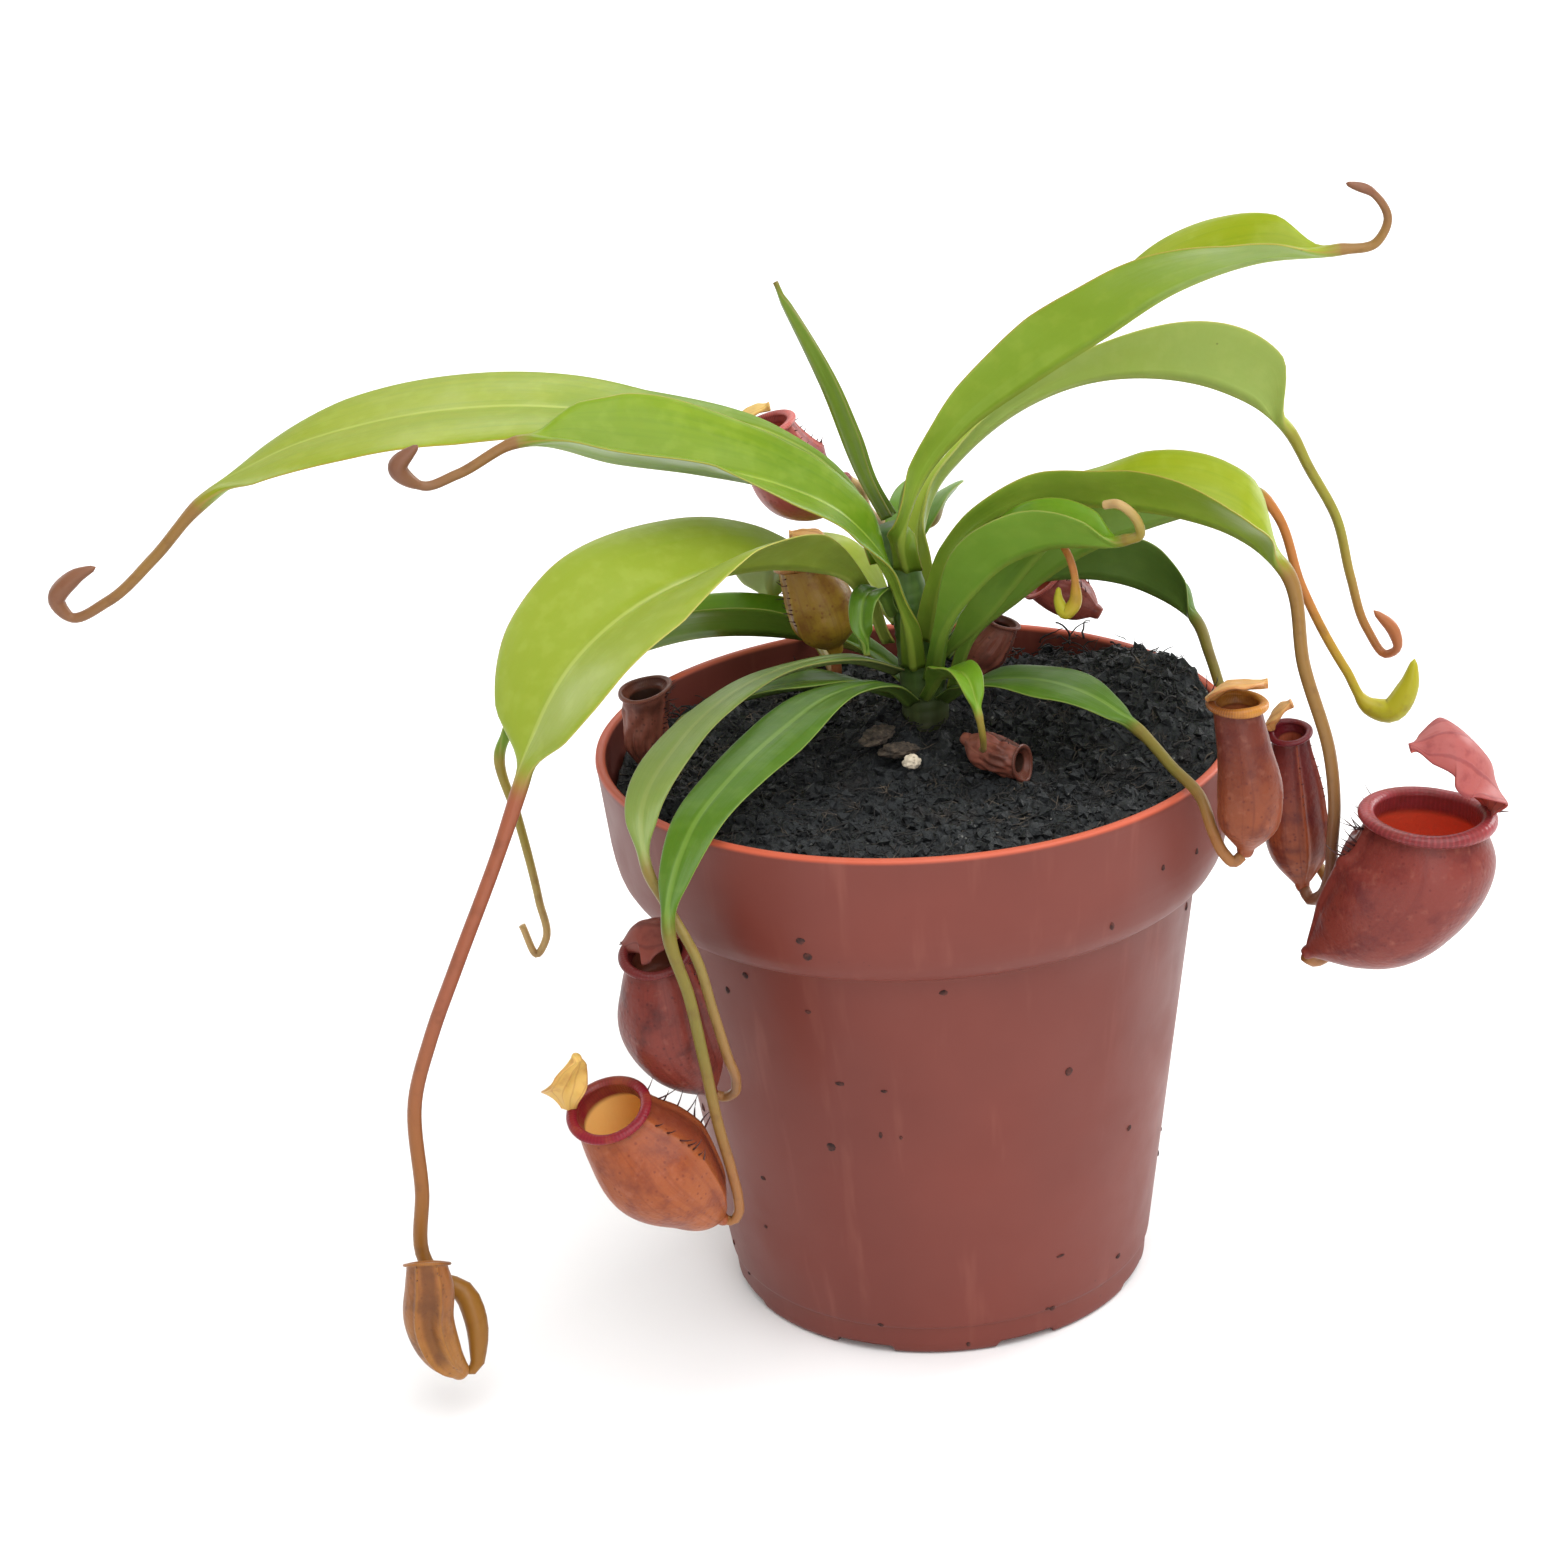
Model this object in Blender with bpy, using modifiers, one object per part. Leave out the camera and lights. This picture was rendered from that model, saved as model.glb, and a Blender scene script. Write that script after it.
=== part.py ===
"""A potted tropical pitcher plant in a round plastic nursery pot.

The pot is a turned shell filled with loose dark soil. A short stem stands in the soil and
carries a rosette of folded leaves. Each leaf's midrib runs on past the blade as a tendril,
and each tendril ends in a hook, a bud or a hanging pitcher. Lengths are in millimetres.
Origin: centre of the pot's underside. +Z up, +X to the right, +Y away from the viewer.
"""
import math

import bpy
import numpy as np

MM = 0.001
UP = np.array((0.0, 0.0, 1.0))

# Pot, a 9 cm nursery pot
POT_HEIGHT = 83.0
RIM_RADIUS = 45.0
BODY_TOP_RADIUS = 39.2
FOOT_RADIUS = 30.3
COLLAR_BOTTOM = 63.5
WALL = 1.5
FLOOR_TOP = 2.4
POT_SIDES = 40
FOOT_NOTCHES = 8
NOTCH_WIDTH = 9.0
NOTCH_HEIGHT = 1.2
NOTCH_REACH = 7.0

# Soil
GAP = 0.3
SOIL_LEVEL = 77.5
STEM_HOLE_RADIUS = 4.2
STEM_FOOT = 70.0
MOUND_HEIGHT = 4.0
MOUND_RADIUS = 11.0
HEAP_HEIGHT = 7.5
HEAP_COMPASS = 24.0
HEAP_SPREAD = 34.0
FRONT_RISE = 1.5

# Stem axis and radius, as (x, y, z, radius)
STEM = [(1.7, 11, 70, 3.4), (1.7, 11, 84, 3.3), (0.3, 10.5, 99, 2.7), (-1.9, 10.5, 110, 2.1)]

# Leaf sections
EDGE_THICKNESS = 0.6
RIB_THICKNESS = 1.1
BLADE_BOW = 0.16
ROUNDING_START = 0.9
BLADE_FULLNESS = 0.75
CLOSED_SHARE = 0.15
BLADE_STEPS = 2
PITCHER_STEPS = 2
LID_RINGS = 4

# Pitcher sections
PITCHER_WALL = 0.9
HOLLOW_END_RADIUS = 0.6
HOLLOW_SHARES = (0.15, 0.6, 1.0)
WING_BAND = (0.3, 0.62)
LIP_TILT = 0.15
LIP_OUTLINE = ((0.75, -0.15), (1.0, 0.45), (0.5, 1.0), (-0.2, 0.85), (-0.5, 0.2))

# Colours, as seen in daylight
COLOURS = {
    "pot_plastic": (0.36, 0.105, 0.062, 0.42),
    "soil_peat": (0.012, 0.013, 0.014, 0.95),
    "leaf_bright": (0.30, 0.50, 0.045, 0.42),
    "leaf_dark": (0.075, 0.21, 0.03, 0.45),
    "stem_green": (0.16, 0.26, 0.04, 0.5),
    "pitcher_red": (0.33, 0.075, 0.06, 0.4),
    "pitcher_tan": (0.45, 0.20, 0.07, 0.45),
    "pitcher_dry": (0.20, 0.085, 0.045, 0.75),
    "lid_red": (0.48, 0.12, 0.09, 0.45),
    "lid_tan": (0.62, 0.36, 0.12, 0.45),
    "perlite": (0.72, 0.62, 0.48, 0.9),
    "bark": (0.12, 0.09, 0.06, 0.95),
}


def leaf(base, blade, tendril, half_width, belly, right, left, colour="leaf_bright",
         across=5, petiole=1.8, tendril_radius=(1.0, 0.8), bud=None, opening=0.35):
    """One leaf: where it starts on the stem, its midrib, its tendril and its blade.

    base is (height, compass angle) on the stem, belly is how far along the blade is widest,
    opening is how far along it has spread out of its narrow foot, and right and left are how
    many degrees each half of the blade rises from level, at even stations from the stem to
    the tip. bud is (share of the tendril, radius).
    """
    return dict(base=base, blade=blade, tendril=tendril, half_width=half_width, belly=belly,
                right=right, left=left, colour=colour, across=across, petiole=petiole,
                tendril_radius=tendril_radius, bud=bud, opening=opening)


LEAVES = {
    "leaf_left_far": leaf(
        (104, 150), [(-6, 15, 110), (-10, 18, 116), (-18, 20.5, 121), (-39, 25, 124),
                     (-57, 28, 125.2), (-76, 31, 123), (-92, 32, 118.4), (-103, 32, 112)],
        [(-111, 32, 104), (-118.5, 31, 98), (-124.5, 31, 96), (-126, 31, 98.5),
         (-123, 31, 102), (-119.5, 31, 103.5)],
        13.4, 0.67, (15, 20, 8, 9, 8, 0), (15, 15, 1, -6, -5, -6), opening=0.5,
        tendril_radius=(1.1, 0.8), bud=(0.3, 1.6)),
    "leaf_left_middle": leaf(
        (90, 260), [(-0.3, 3.2, 99), (-1.8, 2.2, 104.5), (-3.8, 1.2, 109), (-8.4, 0.4, 115),
                    (-17, -1.2, 120.4), (-27, -3, 123.8), (-38, -5, 126.6), (-51, -7, 130.5)],
        [(-59.5, -9, 127), (-64, -10, 126), (-67, -11, 129), (-64, -11, 132)],
        11.2, 0.72, (15, 30, 42, 34, 38, 46, 38), (15, 0, -8, 3, 19, 22, 22),
        tendril_radius=(0.9, 0.7), bud=(0.35, 1.5)),
    "leaf_left_broad": leaf(
        (93, 190), [(-5.5, 9, 99), (-8, 5, 104.4), (-13.5, -3, 109.3), (-19.5, -9, 111.8),
                    (-26, -14, 112.6), (-38.5, -24, 110), (-44.5, -28, 105.5), (-49, -31, 99),
                    (-52, -33, 91.5)],
        [(-55.5, -35, 83), (-62.5, -37, 67.5), (-67, -37, 57), (-70, -37, 48),
         (-70.5, -37, 34), (-71, -37, 22.5), (-69.3, -36.7, 19.4), (-66.4, -37.2, 17.9),
         (-64.9, -38.6, 14.6), (-64.7, -39.9, 10.8), (-65.4, -40.8, 7.8),
         (-67.05, -41.6, 7.35)],
        14.2, 0.68, (15, 33, 32, 26, 22, 18, 15), (20, 38, 42, 30, 10, 6, 6),
        tendril_radius=(1.1, 1.2), bud=(0.2, 1.9)),
    "leaf_left_back": leaf(
        (85, 120), [(-6.1, 22, 87), (-16.8, 29.5, 87.6), (-32.8, 33, 87.1), (-49.5, 33, 81.5),
                    (-63, 34, 69)],
        [(-61, 33, 59), (-59, 33, 45), (-58.5, 33, 38.5), (-60, 33, 36), (-62, 33, 41)],
        7.0, 0.5, (15, 35, 35, 30, 25), (15, 50, 50, 45, 40), colour="leaf_dark", across=3,
        tendril_radius=(0.9, 0.65)),
    "leaf_back_pale": leaf(
        (94, 118), [(-7.5, 25.5, 97.8), (-13, 30.5, 99), (-18, 35, 98), (-20.4, 39.5, 93.6),
                    (-20.3, 42.5, 88)],
        [(-18, 43, 84.6), (-14.5, 38.5, 83.4), (-12, 30, 82.4), (-11, 22, 83),
         (-10.8, 17.9, 86.4), (-10.85, 17.5, 89.4)],
        6.8, 0.66, (15, 20, 15, 10), (15, 20, 15, 10), colour="leaf_dark", across=3,
        tendril_radius=(0.8, 0.9)),
    "leaf_back_upper": leaf(
        (97, 100), [(-0.5, 19, 102), (2, 25, 106), (4.5, 33, 106.5), (5.5, 41, 104),
                    (5.5, 49, 100)],
        [(4.4, 51.6, 96.6), (0.6, 50.4, 96), (-3, 46.2, 98.6), (-5.4, 42, 102.6),
         (-6.3, 40, 106.4), (-7.9, 38.3, 108.3)],
        5.0, 0.5, (15, 30, 30, 25), (15, 30, 30, 25), colour="leaf_dark", across=3,
        tendril_radius=(0.8, 0.9)),
    "leaf_right_high": leaf(
        (104.5, 286), [(-0.4, 5, 110.3), (2.9, 5.2, 118.8), (8.5, 5, 125), (18.5, 4, 132.1),
                     (28, 3, 138), (38, 2, 144.2), (48, 1, 147.6), (59.5, 0, 148.6)],
        [(64.5, 0, 149.3), (66, 0, 152.3), (64, 0, 156), (60.5, 0, 157.5)],
        10.6, 0.68, (5, 50, 68, 66, 50, 30, 25), (5, 25, 22, 24, 20, 36, 60),
        petiole=2.2, opening=0.2, tendril_radius=(0.85, 0.55), bud=(0.25, 0.8)),
    "leaf_right_pale": leaf(
        (99, 68), [(2.5, 17, 108), (5, 19, 113.3), (8.5, 20.5, 116.8), (17, 23, 122.5),
                   (26.5, 26, 125.1), (36.5, 28, 124.9), (46, 29, 122.3), (56, 30, 115)],
        [(59, 30, 109), (63, 30, 101), (65, 30, 92), (67.5, 30, 83.5), (70, 28.5, 80),
         (71.5, 27, 81.5), (71, 27, 84), (68, 27, 87.5)],
        9.8, 0.82, (15, 60, 70, 72, 74, 72), (15, 30, 20, 15, 15, 15), petiole=2.2,
        tendril_radius=(0.95, 0.7), bud=(0.15, 1.1)),
    "leaf_right_middle": leaf(
        (94, 300), [(4.6, 3.8, 102.6), (7, 0, 109.6), (11.3, -3, 114.6), (18.5, -5, 117.8),
                    (27, -7, 117.4), (36.5, -9, 116.2), (44.5, -10, 113.2), (50.8, -10, 107.8)],
        [(53.1, -13, 94.5), (56.4, -13.5, 82), (57.2, -12.2, 74), (57.2, -9.8, 67),
         (57.1, -7, 60.4), (56.1, -4.2, 56.3), (54.9, -2.5, 55.2), (54.2, -1.65, 56.5)],
        11.0, 0.8, (15, 50, 55, 60, 50, 30, 15), (15, 25, 8, 14, 34, 33, 38), petiole=2.5,
        tendril_radius=(1.1, 1.0)),
    "leaf_right_long": leaf(
        (86, 340), [(9, 8.6, 94), (15, 7.6, 99.2), (23, 7.2, 105), (38.5, 9, 110),
                    (50, 10, 111.8)],
        [(52, 10, 109), (55.5, 10, 98), (61.7, 10, 85), (65.4, 9.5, 79.2), (67.8, 9, 78.8),
         (70.3, 9, 82), (71.3, 9, 86.5)],
        8.0, 0.55, (15, 60, 72, 72, 60), (15, 30, 35, 35, 30), colour="leaf_dark",
        opening=0.45, tendril_radius=(0.8, 0.8), bud=(0.3, 2.0)),
    "leaf_right_curled": leaf(
        (88, 294), [(5.0, 0.2, 98), (8.7, -5.3, 105.1), (13.3, -9, 110.6), (19, -12, 113.6),
                    (29, -17, 115.4)],
        [(31, -18.5, 116.6), (30.5, -19, 118.9), (28, -18.5, 121), (26.5, -17.5, 120.6)],
        6.8, 0.7, (15, 45, 60, 62, 55), (15, 35, 45, 60, 55), petiole=1.6, opening=0.5,
        tendril_radius=(0.8, 0.7)),
    "leaf_right_small": leaf(
        (91, 318), [(9.9, 2.1, 98.0), (14, -0.3, 103.6), (17.8, -3.2, 109), (20.6, -7.2, 112.7)],
        [(21.9, -9.5, 111.2), (22.7, -10.5, 107.2), (22.4, -11, 104.6), (21.2, -11, 103.5),
         (20.4, -10.5, 105), (20.4, -10.5, 107)],
        3.2, 0.5, (15, 60, 70, 60), (15, 30, 30, 30), colour="leaf_dark", across=3,
        petiole=1.2, tendril_radius=(0.6, 0.6), bud=(0.55, 1.1)),
    "leaf_right_dark": leaf(
        (89, 30), [(14, 19, 96.5), (26.5, 22.5, 97), (35, 23, 94.2), (41.5, 20, 90)],
        [(43, 16, 86), (45.5, 11, 77.5), (49, 9, 69), (53.5, 8, 62), (57.5, 4, 56.5),
         (59.5, -2, 53), (58.8, -6.8, 50.8), (56.4, -10.6, 50.0), (54.2, -12.6, 50.2),
         (52.9, -13.5, 51.5)],
        7.4, 0.7, (15, 60, 75, 72), (15, 30, 20, 15), colour="leaf_dark",
        tendril_radius=(0.9, 0.9)),
    "leaf_right_low": leaf(
        (84.5, 318), [(8, 1, 89), (18, -7, 92), (24, -12, 91.5), (30, -17, 88.5)],
        [(34.2, -24, 85.4), (37.4, -30, 83.3), (38.7, -33.6, 79.6), (39.8, -34.9, 77.4),
         (41.1, -35.2, 76.2), (42.2, -34.8, 76.9)],
        5.0, 0.55, (15, 10, 0, 0), (15, 10, 5, 5), colour="leaf_dark", across=3,
        tendril_radius=(0.9, 0.9)),
    "leaf_front_left": leaf(
        (84.5, 238), [(-3.5, 1, 89.5), (-11.5, -9, 92), (-17.5, -18, 91.3), (-24, -28, 89.2),
                      (-30, -38, 85), (-33, -48, 76)],
        [(-31, -48.5, 67), (-29.8, -48.2, 58), (-28.6, -46.8, 47), (-27.3, -45.2, 38.5),
         (-26.9, -44.1, 34.4), (-27.1, -43.3, 31.6), (-27.9, -43, 30.4),
         (-28.9, -43.05, 30.6)],
        4.6, 0.55, (15, 12, 0, 0, 0), (15, 10, -5, 0, 0), colour="leaf_dark",
        tendril_radius=(0.95, 0.8)),
    "leaf_front_grey": leaf(
        (89, 212), [(-8, 3, 93.2), (-20, -7, 94.8), (-31.5, -22, 91.6), (-36.5, -33, 86),
                    (-36, -38, 81)],
        [(-33, -43.8, 77.3), (-29.9, -46.6, 71.8), (-28.2, -45.4, 63), (-26.9, -43.6, 55.5),
         (-26.2, -40.4, 50.2), (-26.8, -38.4, 47.3), (-28.2, -37.4, 46.3),
         (-29.6, -37.65, 46.9)],
        3.3, 0.7, (15, 5, 0, 8, 8), (15, 10, 12, 5, 0), colour="leaf_dark", across=3,
        tendril_radius=(0.8, 0.8)),
    "leaf_front_low": leaf(
        (85, 195), [(-8, 4, 89), (-20, -2, 91), (-32, -4, 88)],
        [(-35.4, -3, 84), (-37.5, -0.4, 80.2)],
        3.6, 0.5, (15, 15, 10), (15, 20, 15), colour="leaf_dark", across=3,
        tendril_radius=(0.7, 0.7)),
    "leaf_centre_small": leaf(
        (98, 225), [(-4, 4, 102.5), (-5.8, 0.5, 102.8), (-6.5, -1.5, 99.5), (-6, -2, 95.5)],
        [], 2.2, 0.5, (20, 20, 15), (20, 20, 15), colour="leaf_dark", across=3,
        petiole=1.0, tendril_radius=(0.5, 0.5)),
    "leaf_front_tiny": leaf(
        (85.5, 276), [(4, -1, 91.5), (5.6, -7, 94), (7.6, -12.5, 94.8), (8.8, -16, 91.2)],
        [(9.2, -16, 88.4), (9.3, -14.4, 85.8), (9.1, -10.5, 84)],
        2.9, 0.62, (15, 20, 30, 25), (15, 20, 30, 25), across=3, petiole=1.1,
        tendril_radius=(0.6, 0.45)),
    "leaf_back_low": leaf(
        (86, 75), [(4, 22, 89.4), (9, 28.5, 90.6), (16, 34, 91)],
        [], 2.6, 0.5, (15, 20, 20), (15, 20, 20), colour="leaf_dark", across=3,
        tendril_radius=(0.6, 0.5)),
}

# The newest leaf, still rolled up, stands on top of the stem
SPEAR = leaf(None, [(-2.5, 10.7, 111), (-5.5, 12, 117), (-10, 14, 130), (-16, 16, 144.5)],
             [], 2.1, 0.35, (60, 78, 80, 70), (60, 78, 80, 70), across=3, petiole=1.8,
             tendril_radius=(0.4, 0.4))


def pitcher(axis, mouth_normal, front, colour, lip=0.9, depth=1.6, sides=12, wing=0.6,
            neck=0.5):
    """One pitcher: its axis as (x, y, z, radius) from base to mouth, and its mouth.

    front is the side that carries the two fringed wings, lip is the size of the rolled rim,
    depth is how far the hollow goes in and neck is how much the rim rises at the back.
    """
    return dict(axis=axis, mouth_normal=mouth_normal, front=front, colour=colour, lip=lip,
                depth=depth, sides=sides, wing=wing, neck=neck)


PITCHERS = {
    "pitcher_right_large": pitcher(
        [(53.6, -14, 52.6, 1.1), (58.3, -15, 55.8, 6), (65.2, -17, 62.2, 9.8),
         (68.6, -18, 68.3, 9.8), (69, -18, 73, 7.9)],
        (0.1, -0.02, 1.0), (-1.0, 0.35, 0.0), "pitcher_red", lip=1.5, depth=13, sides=16,
        wing=0.8, neck=0.9),
    "pitcher_right_front": pitcher(
        [(42.7, -34.6, 77.9, 1.2), (43, -34.5, 80.4, 3.5), (43.4, -34.5, 84.9, 4.3),
         (42.8, -34, 91.5, 3.6), (42, -33, 97.2, 3.2)],
        (0.06, -0.07, 1.0), (-0.4, 0.9, 0.0), "pitcher_tan"),
    "pitcher_right_dark": pitcher(
        [(54, -1.2, 57.2, 1.1), (53.7, -0.5, 60.2, 3.4), (53, 0, 69.5, 4.2),
         (52.6, 0, 79.5, 2.5)],
        (-0.1, -0.2, 1.0), (0.6, -0.8, 0.0), "pitcher_red", lip=0.7),
    "pitcher_left_front": pitcher(
        [(-29.55, -43.25, 31.1, 1.0), (-31, -43.9, 32.7, 3.3), (-33.2, -44.6, 35.6, 5.5),
         (-36.9, -45.5, 40.2, 7.5), (-40.2, -46, 45.6, 6.6), (-42.8, -46.5, 49.5, 4.8)],
        (-0.2, -0.35, 0.93), (0.9, -0.1, 0.4), "pitcher_red", lip=1.0, depth=11, sides=16),
    "pitcher_left_dark": pitcher(
        [(-30.1, -37.85, 47.7, 1.1), (-31.9, -39, 51.7, 4.1), (-34.7, -40.4, 58.7, 6.2),
         (-35.2, -40.9, 65, 5.4), (-35.5, -41, 69.4, 4.0)],
        (-0.1, -0.3, 0.95), (0.9, 0.1, 0.2), "pitcher_red"),
    "pitcher_left_dry": pitcher(
        [(-38, 3, 79, 1.2), (-38.4, 3, 82, 2.6), (-38, 3, 86, 2.9), (-37.5, 3, 90, 3.4)],
        (-0.2, -0.1, 0.97), (1.0, -0.2, 0.0), "pitcher_dry", lip=0.5),
    "pitcher_hanging": pitcher(
        [(-67.5, -41.8, 8.3, 1.5), (-69, -42.5, 11, 2.6), (-70.5, -43, 17, 3.4),
         (-70, -43, 22.5, 3.3), (-70, -43, 25.5, 2.8)],
        (0.0, 0.5, 0.86), (0.1, -1.0, 0.0), "pitcher_tan", lip=0.5, depth=0.5, neck=0.3),
    "pitcher_back_upper": pitcher(
        [(-8.6, 37.6, 108.6, 1.0), (-11.4, 35, 108, 3.8), (-15.1, 33, 110.2, 6.0),
         (-17.9, 32, 115, 5.0), (-19, 31.5, 118.8, 3.6)],
        (-0.3, -0.1, 0.95), (0.9, 0.0, 0.4), "pitcher_red"),
    "pitcher_back_yellow": pitcher(
        [(-10.9, 17.4, 89.9, 1.3), (-11.4, 17.4, 92, 3.9), (-12.4, 17.4, 96.2, 4.7),
         (-13.9, 17.4, 100.6, 3.9), (-14.6, 17.4, 102.6, 3.5)],
        (-0.2, 0.05, 0.97), (-1.0, -0.3, 0.0), "pitcher_tan"),
    "pitcher_back_pink": pitcher(
        [(27.5, 32, 88, 1.2), (26, 32.5, 88.8, 2.6), (23.5, 33, 90.2, 3.3),
         (20.5, 33.5, 92, 3.0)],
        (-0.6, 0.0, 0.8), (0.4, -0.2, 0.9), "pitcher_red", lip=0.6, wing=0.3),
    "pitcher_centre_dry": pitcher(
        [(8.2, 18.6, 80.6, 0.9), (8.6, 19, 84, 1.6), (10, 19.6, 86.5, 3.0), (12, 20, 89, 3.0),
         (13.5, 20, 91, 2.2)],
        (0.3, 0.0, 0.95), (1.0, -0.3, 0.0), "pitcher_dry", lip=0.5, wing=0.3),
    "pitcher_front_dry": pitcher(
        [(7.5, -4.5, 83, 1.0), (9, -5.5, 82.3, 2.2), (11.5, -7, 81.4, 2.6),
         (14.5, -8.5, 80.8, 2.3)],
        (0.8, -0.5, 0.1), (0.2, 0.2, 1.0), "pitcher_dry", lip=0.4, wing=0.3),
}


def lid(spine, half_width, right, left, colour):
    """One lid: its midline from the hinge to the tip, and how far each side rises."""
    return dict(spine=spine, half_width=half_width, right=right, left=left, colour=colour)


LIDS = {
    "lid_right_large": lid([(78.8, -18, 75.8), (77.3, -18.5, 81.3), (73.3, -19.5, 85.7),
                            (69, -20, 86.4), (66.3, -20, 84.8)], 6.8, 0, -48, "lid_red"),
    "lid_right_front": lid([(37.8, -32.5, 99.6), (42, -32.8, 100.2), (46, -32.8, 100.2)],
                           4.1, 14, -14, "lid_tan"),
    "lid_right_dark": lid([(49.6, 0.5, 81.3), (50.9, 0.3, 83.2), (52.9, 0, 84.3)], 2.8, -5, -5,
                          "lid_tan"),
    "lid_left_front": lid([(-49.2, -45.8, 51.4), (-48.2, -47.4, 55.3), (-46.2, -49.4, 59.4)],
                          3.3, -8, -8, "lid_tan"),
    "lid_left_dark": lid([(-40.6, -38.9, 71.8), (-36, -40.4, 74), (-31.4, -42.2, 73)],
                         4.6, -18, -18, "lid_red"),
    "lid_back_upper": lid([(-24.1, 32, 119.7), (-21.6, 31.8, 121.5), (-18.5, 31.5, 122.2)],
                          3.2, -4, -4, "lid_tan"),
    "lid_back_yellow": lid([(-10.2, 17.4, 105.5), (-12.6, 17.4, 107), (-16.4, 17.4, 107.2)],
                           3.6, -8, -8, "lid_tan"),
    "lid_back_pink": lid([(22.3, 33.5, 95.7), (19.8, 33.5, 96.7), (16.3, 33.5, 94.7)],
                         2.8, -15, -15, "lid_red"),
}


def unit(vector):
    """The vector, or each row of an array of vectors, at length one."""
    vector = np.asarray(vector, float)
    return vector / np.linalg.norm(vector, axis=-1, keepdims=True)


def knots_of(points):
    """The straight-line distance run at each point, from zero at the first one."""
    steps = np.diff(np.array(points, float)[:, :3], axis=0)
    return np.concatenate(([0.0], np.cumsum(np.linalg.norm(steps, axis=1))))


def even_runs(points, steps):
    """Distances along the points, with each span between two points cut into equal steps."""
    count = steps * (len(points) - 1) + 1
    return np.interp(np.arange(count) / steps, np.arange(len(points)), knots_of(points))


def leaf_runs(points, blade_points):
    """Distances along a leaf: finer spans in its blade, then those of its tendril."""
    runs = even_runs(points, BLADE_STEPS)[:BLADE_STEPS * (blade_points - 1) + 1]
    return np.concatenate((runs, knots_of(points)[blade_points:]))


def curve_at(points, runs):
    """Values and directions of a smooth curve through the points, at the given distances."""
    nodes = np.array(points, float)
    knots = knots_of(points)
    slopes = np.gradient(nodes, knots, axis=0)
    span = np.clip(np.searchsorted(knots, runs, side="right") - 1, 0, len(knots) - 2)
    gap = (knots[span + 1] - knots[span])[:, None]
    f = (runs - knots[span])[:, None] / gap
    start, end = nodes[span], nodes[span + 1]
    leave, arrive = slopes[span] * gap, slopes[span + 1] * gap
    value = ((2 * f**3 - 3 * f**2 + 1) * start + (f**3 - 2 * f**2 + f) * leave
             + (3 * f**2 - 2 * f**3) * end + (f**3 - f**2) * arrive)
    slope = ((6 * f**2 - 6 * f) * (start - end) + (3 * f**2 - 4 * f + 1) * leave
             + (3 * f**2 - 2 * f) * arrive)
    return value, unit(slope[:, :3])


def carry(normals, first):
    """Directions square to each normal in turn, starting from first and never twisting."""
    carried = [unit(first - normals[0] * np.dot(first, normals[0]))]
    for normal in normals[1:]:
        carried.append(unit(carried[-1] - normal * np.dot(carried[-1], normal)))
    return np.array(carried)


def smooth_step(value, start, end):
    """Zero before start, one after end and an even ease between."""
    f = np.clip((value - start) / (end - start), 0.0, 1.0)
    return f * f * (3 - 2 * f)


def collection(name):
    """A new collection in the scene."""
    made = bpy.data.collections.new(name)
    bpy.context.scene.collection.children.link(made)
    return made


def material(name):
    """A Principled material in one of the part's colours."""
    found = bpy.data.materials.get(name)
    if found:
        return found
    red, green, blue, roughness = COLOURS[name]
    made = bpy.data.materials.new(name)
    made.use_nodes = True
    shader = made.node_tree.nodes["Principled BSDF"]
    shader.inputs["Base Color"].default_value = (red, green, blue, 1)
    shader.inputs["Roughness"].default_value = roughness
    shader.inputs["Metallic"].default_value = 0.0
    return made


def add_mesh(name, vertices, faces, colour, into):
    """A smooth-shaded mesh object from points in millimetres."""
    mesh = bpy.data.meshes.new(name)
    mesh.from_pydata((np.asarray(vertices) * MM).tolist(), [], faces)
    mesh.shade_smooth()
    mesh.materials.append(material(colour))
    made = bpy.data.objects.new(name, mesh)
    into.objects.link(made)
    return made


def outward(vertices, faces):
    """The triangles, all turned over if they enclose a negative volume."""
    a, b, c = (np.asarray(vertices)[np.array(faces)[:, i]] for i in range(3))
    if np.sum(np.cross(a, b) * c) < 0:
        return [face[::-1] for face in faces]
    return faces


def ring_walls(ring_count, size):
    """Triangles between each ring and the next, cut alike on the first and second half."""
    faces = []
    for ring in range(ring_count - 1):
        for k in range(size):
            a = ring * size + k
            b = ring * size + (k + 1) % size
            c, d = b + size, a + size
            faces += [(a, b, c), (a, c, d)] if k < size // 2 else [(a, b, d), (b, c, d)]
    return faces


def strip_cap(first, size):
    """Triangles across a flat ring whose second half runs back under its first half."""
    faces = []
    for k in range(size // 2 - 1):
        under, next_under = first + size - 1 - k, first + size - 2 - k
        faces += [(first + k, first + k + 1, next_under), (first + k, next_under, under)]
    return faces


def half_blade(share, shape):
    """Half the blade's width at a share of its length: a petiole that opens into a blade."""
    power = math.log(0.5) / math.log(shape["belly"])
    belly = shape["half_width"] * math.sin(math.pi * min(share, 1.0) ** power) ** BLADE_FULLNESS
    belly *= CLOSED_SHARE + (1 - CLOSED_SHARE) * smooth_step(share, 0.0, shape["opening"])
    return max(math.hypot(belly, shape["petiole"] * (1 - share)), shape["tendril_radius"][0])


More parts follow.
